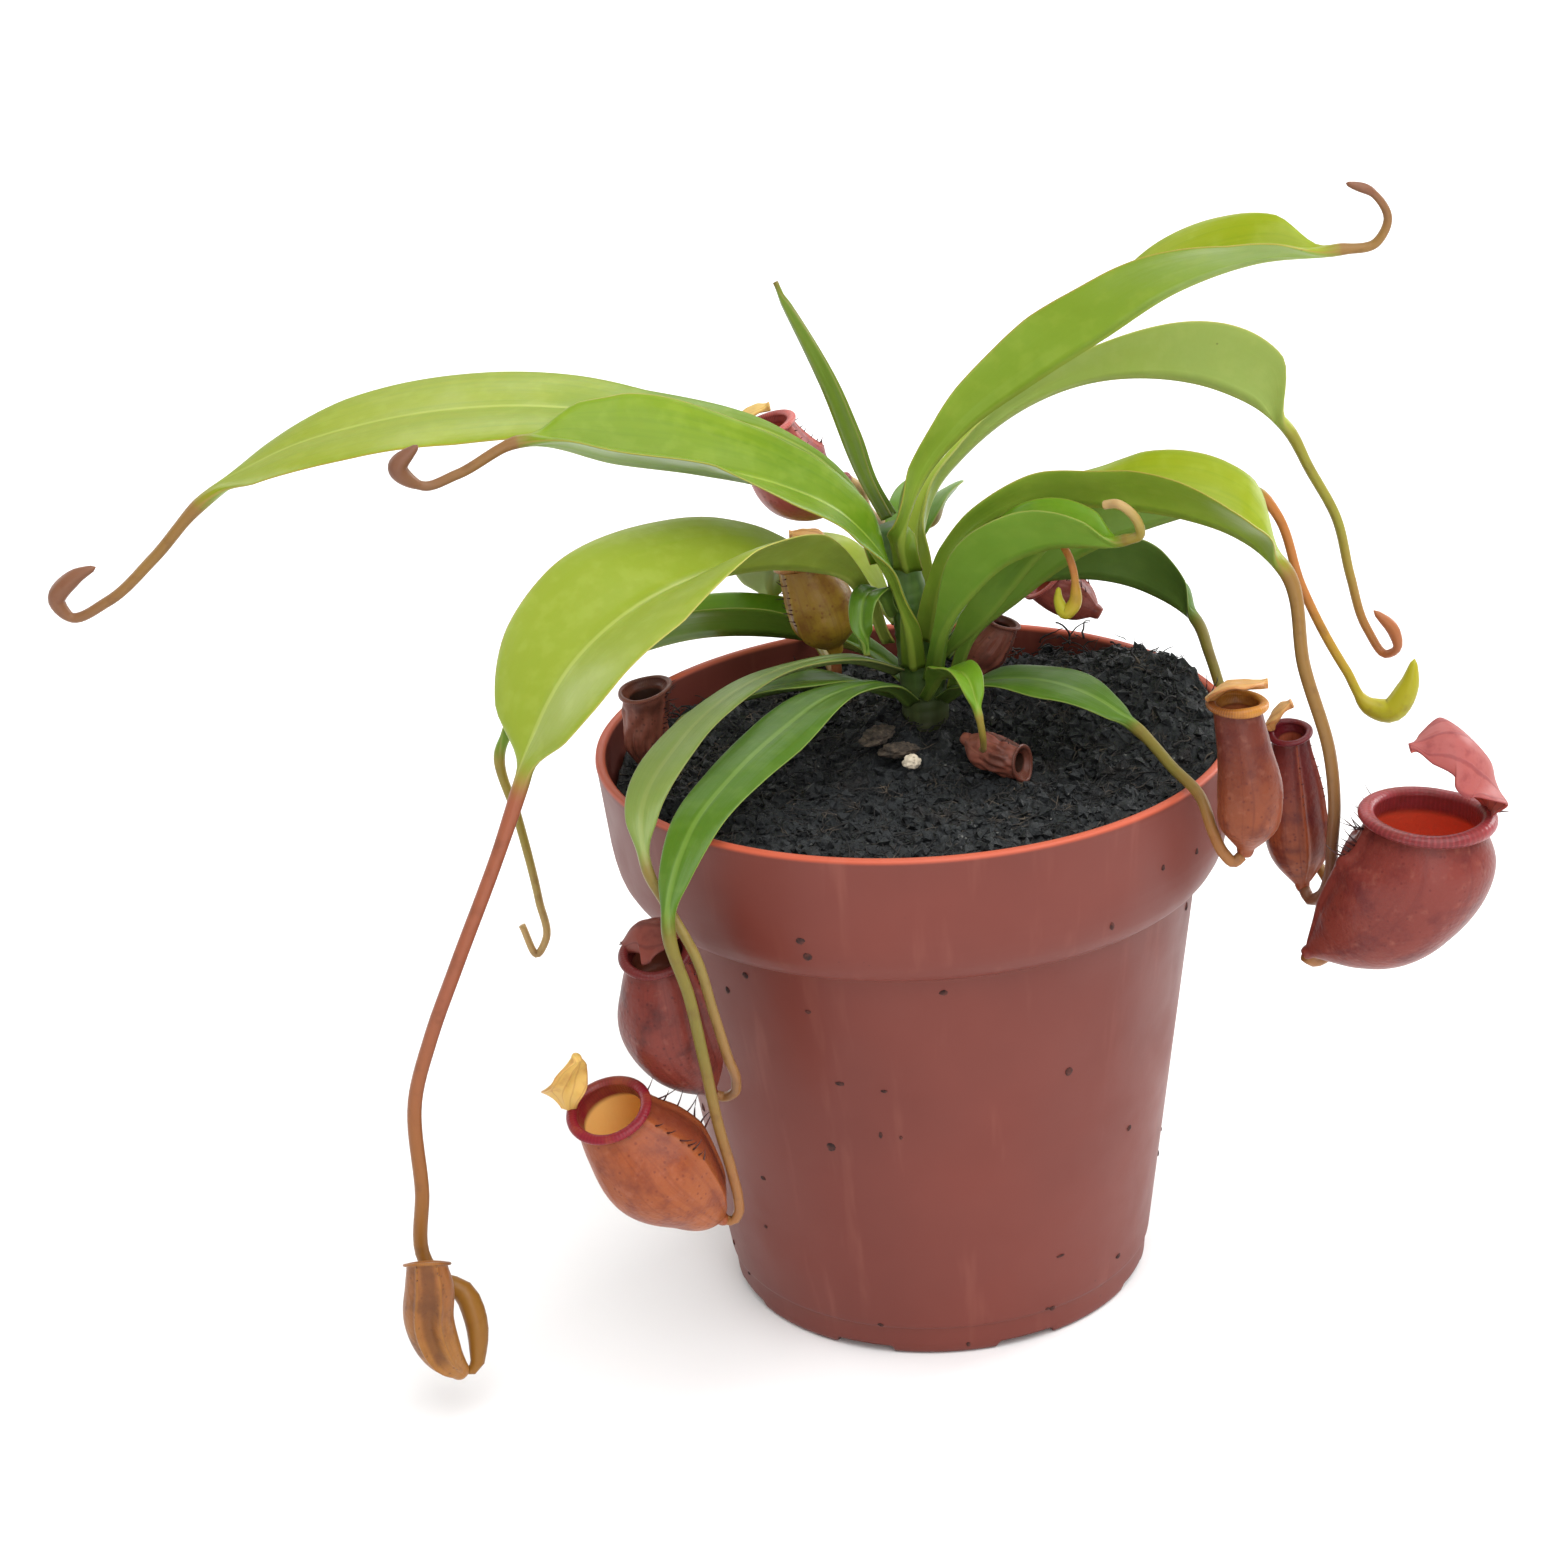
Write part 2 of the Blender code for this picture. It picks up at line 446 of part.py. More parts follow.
def blade_outline(share, shape):
    """Cross-section of the blade, as sideways and upward offsets round one ring.

    Each half of the blade is a thin, slightly bowed strip that rises from the midrib by its
    own angle. Towards the tip the section rounds off into the tendril's circle.
    """
    stations = np.linspace(0, 1, len(shape["right"]))
    right = math.radians(np.interp(share, stations, shape["right"]))
    left = math.radians(np.interp(share, np.linspace(0, 1, len(shape["left"])), shape["left"]))
    width = half_blade(share, shape)
    rib_stretch = 1 / max(math.cos((right + left) / 2), 0.55)
    top, under = [], []
    for u in np.linspace(-1, 1, shape["across"]):
        rise, side = (right, 1.0) if u > 0 else (left, -1.0)
        normal = np.array((-side * math.sin(rise), math.cos(rise)))
        if u == 0:
            normal = unit(np.array((math.sin(left) - math.sin(right),
                                    math.cos(left) + math.cos(right)))) * rib_stretch
        arm = np.array((side * math.cos(rise), math.sin(rise))) * width * abs(u)
        bow = normal * BLADE_BOW * width * (abs(u) - u * u)
        thickness = EDGE_THICKNESS + (RIB_THICKNESS - EDGE_THICKNESS) * (1 - abs(u)) ** 2
        top.append(arm + bow + normal * thickness / 2)
        under.append(arm + bow - normal * thickness / 2)
    flat = np.array(top + under[::-1])
    size = 2 * shape["across"]
    angles = math.pi - (np.arange(size) + 0.5) * 2 * math.pi / size
    circle = shape["tendril_radius"][0] * np.stack((np.cos(angles), np.sin(angles)), axis=1)
    round_share = smooth_step(share, ROUNDING_START, 1.0)
    return flat * (1 - round_share) + circle * round_share


def tendril_outline(share, shape):
    """Circular cross-section of the tendril, with the bud's swelling near its end."""
    start, end = shape["tendril_radius"]
    radius = start + (end - start) * share
    if shape["bud"]:
        length, thick = shape["bud"]
        within = np.clip((share - 1 + length) / length, 0, 1)
        radius = radius * (1 - 0.5 * within) + (thick - radius) * math.sin(math.pi * within)
    size = 2 * shape["across"]
    angles = math.pi - (np.arange(size) + 0.5) * 2 * math.pi / size
    return radius * np.stack((np.cos(angles), np.sin(angles)), axis=1)


def make_leaf(name, shape, blade_points, into):
    """A closed loft along the midrib: blade sections, then tendril sections."""
    points = blade_points + shape["tendril"]
    runs = leaf_runs(points, len(blade_points))
    blade_length = knots_of(points)[len(blade_points) - 1]
    blade_rings = BLADE_STEPS * (len(blade_points) - 1) + 1
    place, along = curve_at(points, runs)
    level = np.empty_like(along)
    level[:blade_rings] = unit(np.cross(along[:blade_rings], UP))
    level[blade_rings - 1:] = carry(along[blade_rings - 1:], level[blade_rings - 1])
    lift = np.cross(level, along)
    rings = []
    for i, run in enumerate(runs):
        if i < blade_rings:
            offsets = blade_outline(run / blade_length, shape)
        else:
            offsets = tendril_outline((run - blade_length) / (runs[-1] - blade_length), shape)
        rings.append(place[i] + offsets[:, :1] * level[i] + offsets[:, 1:] * lift[i])
    size = 2 * shape["across"]
    vertices = np.concatenate(rings)
    faces = ring_walls(len(rings), size)
    faces += [face[::-1] for face in strip_cap(0, size)]
    faces += strip_cap((len(rings) - 1) * size, size)
    return add_mesh(name, vertices, outward(vertices, faces), shape["colour"], into)


def stem_start(height, compass, toward):
    """A leaf's first point: just off the stem's surface at a height and compass angle.

    toward is the leaf's next point. The steeper the leaf leaves, the further off it starts.
    """
    heights = [row[2] for row in STEM]
    x, y, radius = (np.interp(height, heights, [row[i] for row in STEM]) for i in (0, 1, 3))
    out = np.array((math.cos(math.radians(compass)), math.sin(math.radians(compass)), 0.0))
    surface = np.array((x, y, height)) + radius * out
    steepness = math.sqrt(max(1 - np.dot(unit(toward - surface), out) ** 2, 0.0))
    return tuple(surface + (2 * GAP + steepness * (RIB_THICKNESS - GAP)) * out)


def make_lid(name, shape, into):
    """A lid is a short domed blade with a round end and no tendril."""
    blade = leaf(None, shape["spine"], [], shape["half_width"], 0.5, (shape["right"],) * 2,
                 (shape["left"],) * 2, colour=shape["colour"], across=3, petiole=1.0,
                 tendril_radius=(0.7, 0.7), opening=0.01)
    spine, _ = curve_at(shape["spine"], np.linspace(0, knots_of(shape["spine"])[-1], LID_RINGS))
    return make_leaf(name, blade, [tuple(point) for point in spine], into)


def make_pitcher(name, shape, into):
    """A closed cup: up the outside, over the rolled rim and down into the hollow."""
    axis = shape["axis"]
    length = knots_of(axis)[-1]
    mouth_normal = unit(shape["mouth_normal"])
    outer_runs = even_runs(axis, PITCHER_STEPS)
    inner_runs = length - shape["depth"] * np.array(HOLLOW_SHARES)
    angles = np.arange(shape["sides"]) * 2 * math.pi / shape["sides"]
    lip = shape["lip"]

    def frames(runs):
        """Centre, radius, normal and in-plane directions of a ring at each distance."""
        value, along = curve_at(axis, runs)
        weight = smooth_step(runs / length, 0.5, 1.0)[:, None]
        normals = unit(along * (1 - weight) + mouth_normal * weight)
        return value[:, :3], value[:, 3], normals

    centre, radius, normals = frames(outer_runs)
    fronts = carry(normals[::-1], np.array(shape["front"], float))[::-1]
    off_front = np.abs(angles - math.pi / 2)
    on_wing = (off_front > WING_BAND[0]) & (off_front < WING_BAND[1])
    rings = []
    for i in range(len(outer_runs)):
        across = np.cross(fronts[i], normals[i])
        swell = shape["wing"] * math.sin(math.pi * min(outer_runs[i] / length, 0.9)) ** 0.5
        reach = radius[i] + np.where(on_wing, swell, 0.0)
        rings.append(centre[i] + reach[:, None] * (np.cos(angles)[:, None] * across
                                                   + np.sin(angles)[:, None] * fronts[i]))
    across = np.cross(fronts[-1], mouth_normal)
    spoke = np.cos(angles)[:, None] * across + np.sin(angles)[:, None] * fronts[-1]
    back_rise = shape["neck"] * np.clip(-np.sin(angles), 0, 1)[:, None] ** 2
    for out, up in LIP_OUTLINE:
        rings.append(centre[-1] + (radius[-1] + lip * out) * spoke
                     + (lip + back_rise) * (up + LIP_TILT) * mouth_normal)
    centre, radius, normals = frames(inner_runs)
    for i in range(len(inner_runs)):
        front = unit(fronts[-1] - normals[i] * np.dot(fronts[-1], normals[i]))
        across = np.cross(front, normals[i])
        reach = max(radius[i] - PITCHER_WALL, HOLLOW_END_RADIUS)
        rings.append(centre[i] + reach * (np.cos(angles)[:, None] * across
                                          + np.sin(angles)[:, None] * front))
    size = shape["sides"]
    vertices = np.concatenate(rings + [rings[0].mean(axis=0, keepdims=True),
                                       rings[-1].mean(axis=0, keepdims=True)])
    faces = ring_walls(len(rings), size)
    last = (len(rings) - 1) * size
    bottom, hollow_end = len(vertices) - 2, len(vertices) - 1
    for k in range(size):
        faces.append(((k + 1) % size, k, bottom))
        faces.append((last + k, last + (k + 1) % size, hollow_end))
    return add_mesh(name, vertices, outward(vertices, faces), shape["colour"], into)


def turned(name, profile, sides, colour, into):
    """A turned body from a profile of (radius, height) points, with a Screw modifier."""
    points = [(radius * MM, 0.0, height * MM) for radius, height in profile]
    mesh = bpy.data.meshes.new(name)
    mesh.from_pydata(points, [(i, i + 1) for i in range(len(points) - 1)], [])
    mesh.materials.append(material(colour))
    made = bpy.data.objects.new(name, mesh)
    into.objects.link(made)
    screw = made.modifiers.new("turn", "SCREW")
    screw.axis = "Z"
    screw.steps = sides
    screw.render_steps = sides
    screw.use_merge_vertices = True
    screw.merge_threshold = 0.00001
    screw.use_smooth_shade = True
    return made


def make_pot(into, cutters):
    """The pot: a tapered body, a rounded collar under the rim, and drainage notches."""
    inner_top = RIM_RADIUS - WALL
    profile = [
        (0, FLOOR_TOP), (FOOT_RADIUS - WALL - 0.6, FLOOR_TOP), (FOOT_RADIUS - WALL, 3.2),
        (BODY_TOP_RADIUS - WALL, COLLAR_BOTTOM + 1), (BODY_TOP_RADIUS, COLLAR_BOTTOM + 2.4),
        (RIM_RADIUS - WALL - 1.9, 68.5), (inner_top - 0.9, 74), (inner_top, POT_HEIGHT - 0.5),
        (inner_top + 0.4, POT_HEIGHT), (RIM_RADIUS - 0.3, POT_HEIGHT),
        (RIM_RADIUS, POT_HEIGHT - 0.5), (44.3, 76), (43.8, 71), (43.1, 67.2), (42.0, 64.8),
        (40.6, COLLAR_BOTTOM), (BODY_TOP_RADIUS, COLLAR_BOTTOM - 0.3), (FOOT_RADIUS + 0.7, 5),
        (FOOT_RADIUS + 0.4, 4.6), (FOOT_RADIUS, 0.7), (FOOT_RADIUS - 0.7, 0), (0, 0),
    ]
    pot = turned("pot", profile, POT_SIDES, "pot_plastic", into)
    for i in range(FOOT_NOTCHES):
        turn = 2 * math.pi * (i + 0.5) / FOOT_NOTCHES
        middle = (FOOT_RADIUS + 1) * MM
        bpy.ops.mesh.primitive_cube_add(size=1, rotation=(0, 0, turn), location=(
            middle * math.cos(turn), middle * math.sin(turn), 0))
        cutter = bpy.context.object
        cutter.name = f"notch_cutter_{i + 1}"
        cutter.scale = (NOTCH_REACH * MM, NOTCH_WIDTH * MM, 2 * NOTCH_HEIGHT * MM)
        cutter.hide_render = True
        cutter.display_type = "WIRE"
        for owner in list(cutter.users_collection):
            owner.objects.unlink(cutter)
        cutters.objects.link(cutter)
        cut = pot.modifiers.new(f"notch_{i + 1}", "BOOLEAN")
        cut.operation = "DIFFERENCE"
        cut.solver = "EXACT"
        cut.object = cutter
    return pot


def soil_height(x, y):
    """Height of the soil surface: low at the left, heaped at the stem and the back right."""
    from_stem = np.hypot(x - STEM[0][0], y - STEM[0][1])
    around = np.degrees(np.arctan2(y, x))
    heap = HEAP_HEIGHT * np.exp(-((around - HEAP_COMPASS) / HEAP_SPREAD) ** 2)
    heap = heap * smooth_step(np.hypot(x, y), 12, 37)
    ripple = 0.35 * np.sin(0.9 * x + 1.3) * np.cos(0.7 * y) + 0.25 * np.sin(0.5 * x - 1.1 * y)
    front = FRONT_RISE * smooth_step(-y, 5, 35)
    mound = MOUND_HEIGHT * np.exp(-(from_stem / MOUND_RADIUS) ** 2)
    return SOIL_LEVEL + mound + heap + front + ripple


def make_soil(into):
    """A closed body that fills the pot, with a plain hole for the stem."""
    angles = np.arange(POT_SIDES) * 2 * math.pi / POT_SIDES
    spoke = np.stack((np.cos(angles), np.sin(angles)), axis=1)
    hole = np.array(STEM[0][:2]) + STEM_HOLE_RADIUS * spoke
    gap = 2 * GAP
    wall_top = (RIM_RADIUS - WALL - gap - 0.9) * spoke
    rings = [np.column_stack((hole, np.full(POT_SIDES, STEM_FOOT - GAP)))]
    for share in (0.0, 0.15, 0.35, 0.55, 0.75, 0.9, 1.0):
        flat = hole * (1 - share) + wall_top * share
        rings.append(np.column_stack((flat, soil_height(flat[:, 0], flat[:, 1]))))
    for radius, height in ((RIM_RADIUS - WALL - 1.9 - gap, 70),
                           (BODY_TOP_RADIUS - WALL - gap, COLLAR_BOTTOM + 1.4),
                           (FOOT_RADIUS - WALL - gap, FLOOR_TOP + 1.2),
                           (FOOT_RADIUS - WALL - 2 * gap, FLOOR_TOP + GAP)):
        rings.append(np.column_stack((radius * spoke, np.full(POT_SIDES, height))))
    middle = [rings[0].mean(axis=0, keepdims=True), rings[-1].mean(axis=0, keepdims=True)]
    vertices = np.concatenate(rings + middle)
    faces = ring_walls(len(rings), POT_SIDES)
    last = (len(rings) - 1) * POT_SIDES
    for k in range(POT_SIDES):
        faces.append(((k + 1) % POT_SIDES, k, len(vertices) - 2))
        faces.append((last + k, last + (k + 1) % POT_SIDES, len(vertices) - 1))
    return add_mesh("soil", vertices, outward(vertices, faces), "soil_peat", into)


def make_stem(into):
    """The stem: a tapering round rod along its axis."""
    sides = 12
    runs = even_runs(STEM, 3)
    value, along = curve_at(STEM, runs)
    level = carry(along, np.array((1.0, 0.0, 0.0)))
    lift = np.cross(level, along)
    angles = np.arange(sides) * 2 * math.pi / sides
    rings = [value[i, :3] + value[i, 3] * (np.cos(angles)[:, None] * level[i]
                                           + np.sin(angles)[:, None] * lift[i])
             for i in range(len(runs))]
    vertices = np.concatenate(rings)
    faces = ring_walls(len(rings), sides)
    last = (len(rings) - 1) * sides
    for k in range(1, sides - 1):
        faces.append((0, k + 1, k))
        faces.append((last, last + k, last + k + 1))
    return add_mesh("stem", vertices, outward(vertices, faces), "stem_green", into)


def make_lump(name, place, size, turn, colour, into):
    """A small rounded lump that rests on the soil."""
    bpy.ops.mesh.primitive_ico_sphere_add(subdivisions=2, radius=1.0)
    made = bpy.context.object
    made.name = name
    made.scale = [length * MM / 2 for length in size]
    made.rotation_euler = [math.radians(angle) for angle in turn]
    made.location = [value * MM for value in place]
    made.data.shade_smooth()
    made.data.materials.append(material(colour))
    for owner in list(made.users_collection):
        owner.objects.unlink(made)
    into.objects.link(made)
    return made


def main():
    """Clears the scene and builds every sub-part."""
    for old in list(bpy.data.objects):
        bpy.data.objects.remove(old)
    plant = collection("potted_pitcher_plant")
    cutters = collection("cutters")
    make_pot(plant, cutters)
    make_soil(plant)
    make_stem(plant)
    for name, shape in LEAVES.items():
        foot = stem_start(*shape["base"], shape["blade"][0])
        make_leaf(name, shape, [foot] + shape["blade"], plant)
    make_leaf("leaf_spear", SPEAR, SPEAR["blade"], plant)
    for name, shape in PITCHERS.items():
        make_pitcher(name, shape, plant)
    for name, shape in LIDS.items():
        make_lid(name, shape, plant)
    make_lump("perlite_grain", (-0.6, -4.4, 80.2), (2.6, 2.2, 2.0), (0, 0, 30), "perlite", plant)
    make_lump("bark_chip_large", (-5.2, 1.8, 82.0), (7, 3.6, 2.0), (15, 5, 60), "bark", plant)
    make_lump("bark_chip_small", (-2.4, -1.5, 80.9), (5.5, 3.2, 1.8), (5, 0, 10), "bark", plant)


main()
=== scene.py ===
"""The looks of a potted tropical pitcher plant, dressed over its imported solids.

Lengths are in millimetres until they enter a mesh, and colours are sRGB from 0 to 255.
The order is that of the plant: pot, soil, stem, leaves, pitchers, lids and loose pieces.
"""
import math

import bpy
import numpy as np
from mathutils import Matrix


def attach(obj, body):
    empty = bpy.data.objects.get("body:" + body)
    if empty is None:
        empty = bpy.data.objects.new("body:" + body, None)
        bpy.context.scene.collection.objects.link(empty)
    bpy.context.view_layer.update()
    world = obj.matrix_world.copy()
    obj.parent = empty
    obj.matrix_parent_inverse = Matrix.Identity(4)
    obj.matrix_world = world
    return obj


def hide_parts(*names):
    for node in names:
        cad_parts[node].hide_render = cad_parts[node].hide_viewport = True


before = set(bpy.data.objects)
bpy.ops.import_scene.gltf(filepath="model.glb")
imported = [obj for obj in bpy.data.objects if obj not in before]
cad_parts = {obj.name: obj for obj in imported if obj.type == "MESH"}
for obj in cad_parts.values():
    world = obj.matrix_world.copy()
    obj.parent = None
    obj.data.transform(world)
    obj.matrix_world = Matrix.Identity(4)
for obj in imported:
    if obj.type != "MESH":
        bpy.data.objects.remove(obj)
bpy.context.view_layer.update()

# Pot
# A thin-walled nursery pot of injection-moulded polypropylene in terracotta colour. Its collar
# is wider than its body so that empty pots stack, and its foot has notches for drainage.

MM = 0.001
UP = np.array((0.0, 0.0, 1.0))
# (radius, height): out along the underside, up the outside, over the rim and down the inside
POT_PROFILE = [
    (0, 0), (20, 0), (27, 0), (29.1, 0), (29.7, 0.1), (30.1, 0.4), (30.3, 0.9), (30.6, 4.2),
    (30.68, 4.5), (31.0, 4.75), (31.08, 5.1), (39.15, 63.0), (39.3, 63.3), (40.0, 63.45),
    (40.7, 63.7), (41.4, 64.2), (42.0, 64.9), (42.7, 66.1), (43.1, 67.2), (43.5, 69), (43.8, 71),
    (44.3, 76), (44.85, 81.6), (45.0, 82.4), (44.95, 82.75), (44.75, 82.97), (44.5, 83.03),
    (44.1, 83.03), (43.8, 82.95), (43.6, 82.7), (43.5, 82.3), (42.6, 74), (41.6, 68.5),
    (37.7, 64.5), (29.0, 4), (28.4, 2.6), (27.6, 2.4), (0, 2.4),
]
OUTER_WALL = slice(6, 23)
POT_COLUMNS = 288
PROFILE_STEP = 1.5
FOOT_NOTCHES = 8
FOOT_RADIUS = 30.0
FOOT_RING_START = 26.7
NOTCH_HALF_WIDTH = 4.5
NOTCH_FLANK = 0.5
NOTCH_HEIGHT = 1.2
SPLASH_RINGS = 5
SPLASH_COLUMNS = 9
SPLASH_DEPTH = 0.22
LOW_SPLASHES = 36
# (compass, height) of the splashes, where compass is in degrees from the front to the right
SPLASHES = [(-22, 70.4), (-21, 68), (3, 61), (-20, 46), (-12, 38), (-46, 26), (-49, 17),
            (-17, 5), (28, 5), (35, 68), (52, 30), (-60, 60), (150, 40), (210, 20), (120, 66)]


def linear(red, green, blue):
    """A colour for a shader: each sRGB channel c becomes ((c / 255 + 0.055) / 1.055) ** 2.4."""
    share = np.array((red, green, blue)) / 255
    channels = np.where(share <= 0.04045, share / 12.92, ((share + 0.055) / 1.055) ** 2.4)
    return (*channels.tolist(), 1.0)


class Finish:
    """One procedural material. Each method adds a node and returns its output socket."""

    def __init__(self, name, **sockets):
        self.material = bpy.data.materials.new(name)
        self.material.use_nodes = True
        self.tree = self.material.node_tree
        self.shader = self.tree.nodes["Principled BSDF"]
        for socket, value in sockets.items():
            self.shader.inputs[socket.replace("_", " ")].default_value = value

    def add(self, kind, inputs=None, output=0, **settings):
        """Any node: settings are its own properties, inputs are values or sockets."""
        made = self.tree.nodes.new(kind)
        for key, value in settings.items():
            setattr(made, key, value)
        for key, value in (inputs or {}).items():
            if isinstance(value, bpy.types.NodeSocket):
                self.tree.links.new(value, made.inputs[key])
            else:
                made.inputs[key].default_value = value
        return made.outputs[output]

    def place(self):
        """Object coordinates, which are metres in the shared frame."""
        return self.add("ShaderNodeTexCoord", output="Object")

    def field(self, name):
        """A number kept on the mesh's points."""
        return self.add("ShaderNodeAttribute", output="Fac", attribute_name=name)

    def fields(self, name):
        """Three numbers kept together on the mesh's points, as separate sockets."""
        vector = self.add("ShaderNodeAttribute", output="Vector", attribute_name=name)
        split = self.tree.nodes.new("ShaderNodeSeparateXYZ")
        self.tree.links.new(vector, split.inputs[0])
        return tuple(split.outputs)

    def height(self):
        """Height above the floor, in metres."""
        return self.add("ShaderNodeSeparateXYZ", {0: self.place()}, output=2)

    def upright(self, share):
        """Object coordinates with z scaled by share, which draws a pattern out upright."""
        return self.add("ShaderNodeMapping", {"Vector": self.place(), "Scale": (1, 1, share)})

    def calc(self, operation, a, b=0.0, c=0.0):
        """One step of arithmetic."""
        return self.add("ShaderNodeMath", {0: a, 1: b, 2: c}, operation=operation)

    def noise(self, scale, detail=3.0, rough=0.5, vector=None, distortion=0.0):
        """Soft noise from 0 to 1."""
        return self.add("ShaderNodeTexNoise", {"Vector": vector or self.place(), "Scale": scale,
                                               "Detail": detail, "Roughness": rough,
                                               "Distortion": distortion}, output="Fac")

    def cells(self, scale):
        """Distance from the nearest of many scattered points."""
        return self.add("ShaderNodeTexVoronoi", {"Vector": self.place(), "Scale": scale},
                        output="Distance")

    def between(self, value, low, high, start=0.0, end=1.0):
        """An eased step from start to end as value goes from low to high."""
        return self.add("ShaderNodeMapRange", {"Value": value, "From Min": low,
                                               "From Max": high, "To Min": start,
                                               "To Max": end},
                        interpolation_type="SMOOTHSTEP", clamp=True)

    def ramp(self, value, stops):
        """A colour read from stops of (position, colour)."""
        made = self.tree.nodes.new("ShaderNodeValToRGB")
        self.tree.links.new(value, made.inputs[0])
        band = made.color_ramp
        while len(band.elements) < len(stops):
            band.elements.new(0.5)
        for element, (position, colour) in zip(band.elements, stops):
            element.position = position
            element.color = colour
        return made.outputs[0]

    def blend(self, amount, a, b):
        """Colour a where amount is 0 and colour b where it is 1."""
        return self.add("ShaderNodeMix", {0: amount, 6: a, 7: b}, output=2, data_type="RGBA")

    def vector(self, x, y, z):
        """Three numbers as one vector."""
        return self.add("ShaderNodeCombineXYZ", {0: x, 1: y, 2: z})

    def cover(self, colour, roughness=None, relief=None, strength=0.3, depth=0.0002):
        """Links the finished colour, roughness and relief to the shader."""
        self.tree.links.new(colour, self.shader.inputs["Base Color"])
        if roughness is not None:
            self.tree.links.new(roughness, self.shader.inputs["Roughness"])
        if relief is not None:
            bump = self.add("ShaderNodeBump", {"Strength": strength, "Distance": depth,
                                               "Height": relief}, output="Normal")
            self.tree.links.new(bump, self.shader.inputs["Normal"])
        return self.material


def add_mesh(name, points, faces, material, numbers=None):
    """A smooth mesh from points in millimetres. numbers are values kept on its points."""
    mesh = bpy.data.meshes.new(name)
    mesh.from_pydata((np.asarray(points) * MM).tolist(), [], faces)
    for key, values in (numbers or {}).items():
        kind = "FLOAT" if values.ndim == 1 else "FLOAT_VECTOR"
        held = mesh.attributes.new(key, kind, "POINT")
        held.data.foreach_set("value" if values.ndim == 1 else "vector",
                              values.astype(np.float32).ravel())
    mesh.shade_smooth()
    mesh.materials.append(material)
    made = bpy.data.objects.new(name, mesh)
    bpy.context.scene.collection.objects.link(made)
    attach(made, "root")
    return made


def closed_grid(grid):
    """Faces over a grid of points (rows, columns, 3) that closes round, with both ends shut.

    Each face joins four neighbours. Each end is a fan to the middle of its row. Faces are
    turned over if the whole encloses a negative volume.
    """
    rows, columns = grid.shape[:2]
    low = np.arange(rows - 1)[:, None] * columns + np.arange(columns)
    near = np.arange(rows - 1)[:, None] * columns + (np.arange(columns) + 1) % columns
    quads = np.stack((low, near, near + columns, low + columns), axis=-1).reshape(-1, 4)
    first = np.arange(columns)
    last = first + (rows - 1) * columns
    middle = rows * columns
    fan_in = np.stack((np.roll(first, -1), first, np.full(columns, middle)), axis=1)
    fan_out = np.stack((last, np.roll(last, -1), np.full(columns, middle + 1)), axis=1)
    points = np.concatenate((grid.reshape(-1, 3), grid[0].mean(axis=0, keepdims=True),
                             grid[-1].mean(axis=0, keepdims=True)))
    a, b, c, d = (points[quads[:, k]] for k in range(4))
    volume = np.sum(np.cross(a, b) * c) + np.sum(np.cross(a, c) * d)
    if volume < 0:
        quads, fan_in, fan_out = quads[:, ::-1], fan_in[:, ::-1], fan_out[:, ::-1]
    return points, quads.tolist() + fan_in.tolist() + fan_out.tolist()


def with_ends(values):
    """A grid of numbers as one list, with the mean of each end row for the end points."""
    flat = values.reshape(-1, *values.shape[2:])
    return np.concatenate((flat, values[0].mean(axis=0, keepdims=True),
                           values[-1].mean(axis=0, keepdims=True)))


def circle(count):
    """Even angles once round."""
    return np.arange(count) * 2 * math.pi / count


def knots_of(points):
    """Straight-line distance run at each point of a path."""
    steps = np.diff(np.array(points, float)[:, :3], axis=0)
    return np.concatenate(([0.0], np.cumsum(np.linalg.norm(steps, axis=1))))


def pot_grid():
    """Profile turned about Z: point = (r cos a, r sin a, z), with long runs cut every 1.5 mm.

    Within each notch, points of the foot's ring are lifted to NOTCH_HEIGHT, and at its flanks
    by a share of it.
    """
    profile = np.array(POT_PROFILE, float)
    run = knots_of(POT_PROFILE)
    fine = np.unique(np.concatenate((run, np.arange(0, run[-1], PROFILE_STEP))))
    radius = np.interp(fine, run, profile[:, 0])
    height = np.interp(fine, run, profile[:, 1])[radius > 0]
    radius = radius[radius > 0]
    angle = circle(POT_COLUMNS)
    pitch = 2 * math.pi / FOOT_NOTCHES
    aside = np.abs((angle % pitch) - pitch / 2) * FOOT_RADIUS
    inside_notch = np.clip((NOTCH_HALF_WIDTH - aside) / NOTCH_FLANK, 0, 1)
    foot_ring = (radius > FOOT_RING_START) & (height < NOTCH_HEIGHT)
    lift = np.where(foot_ring[:, None], inside_notch * (NOTCH_HEIGHT - height[:, None]), 0)
    z = height[:, None] + lift
    return np.stack((radius[:, None] * np.cos(angle), radius[:, None] * np.sin(angle), z), -1)


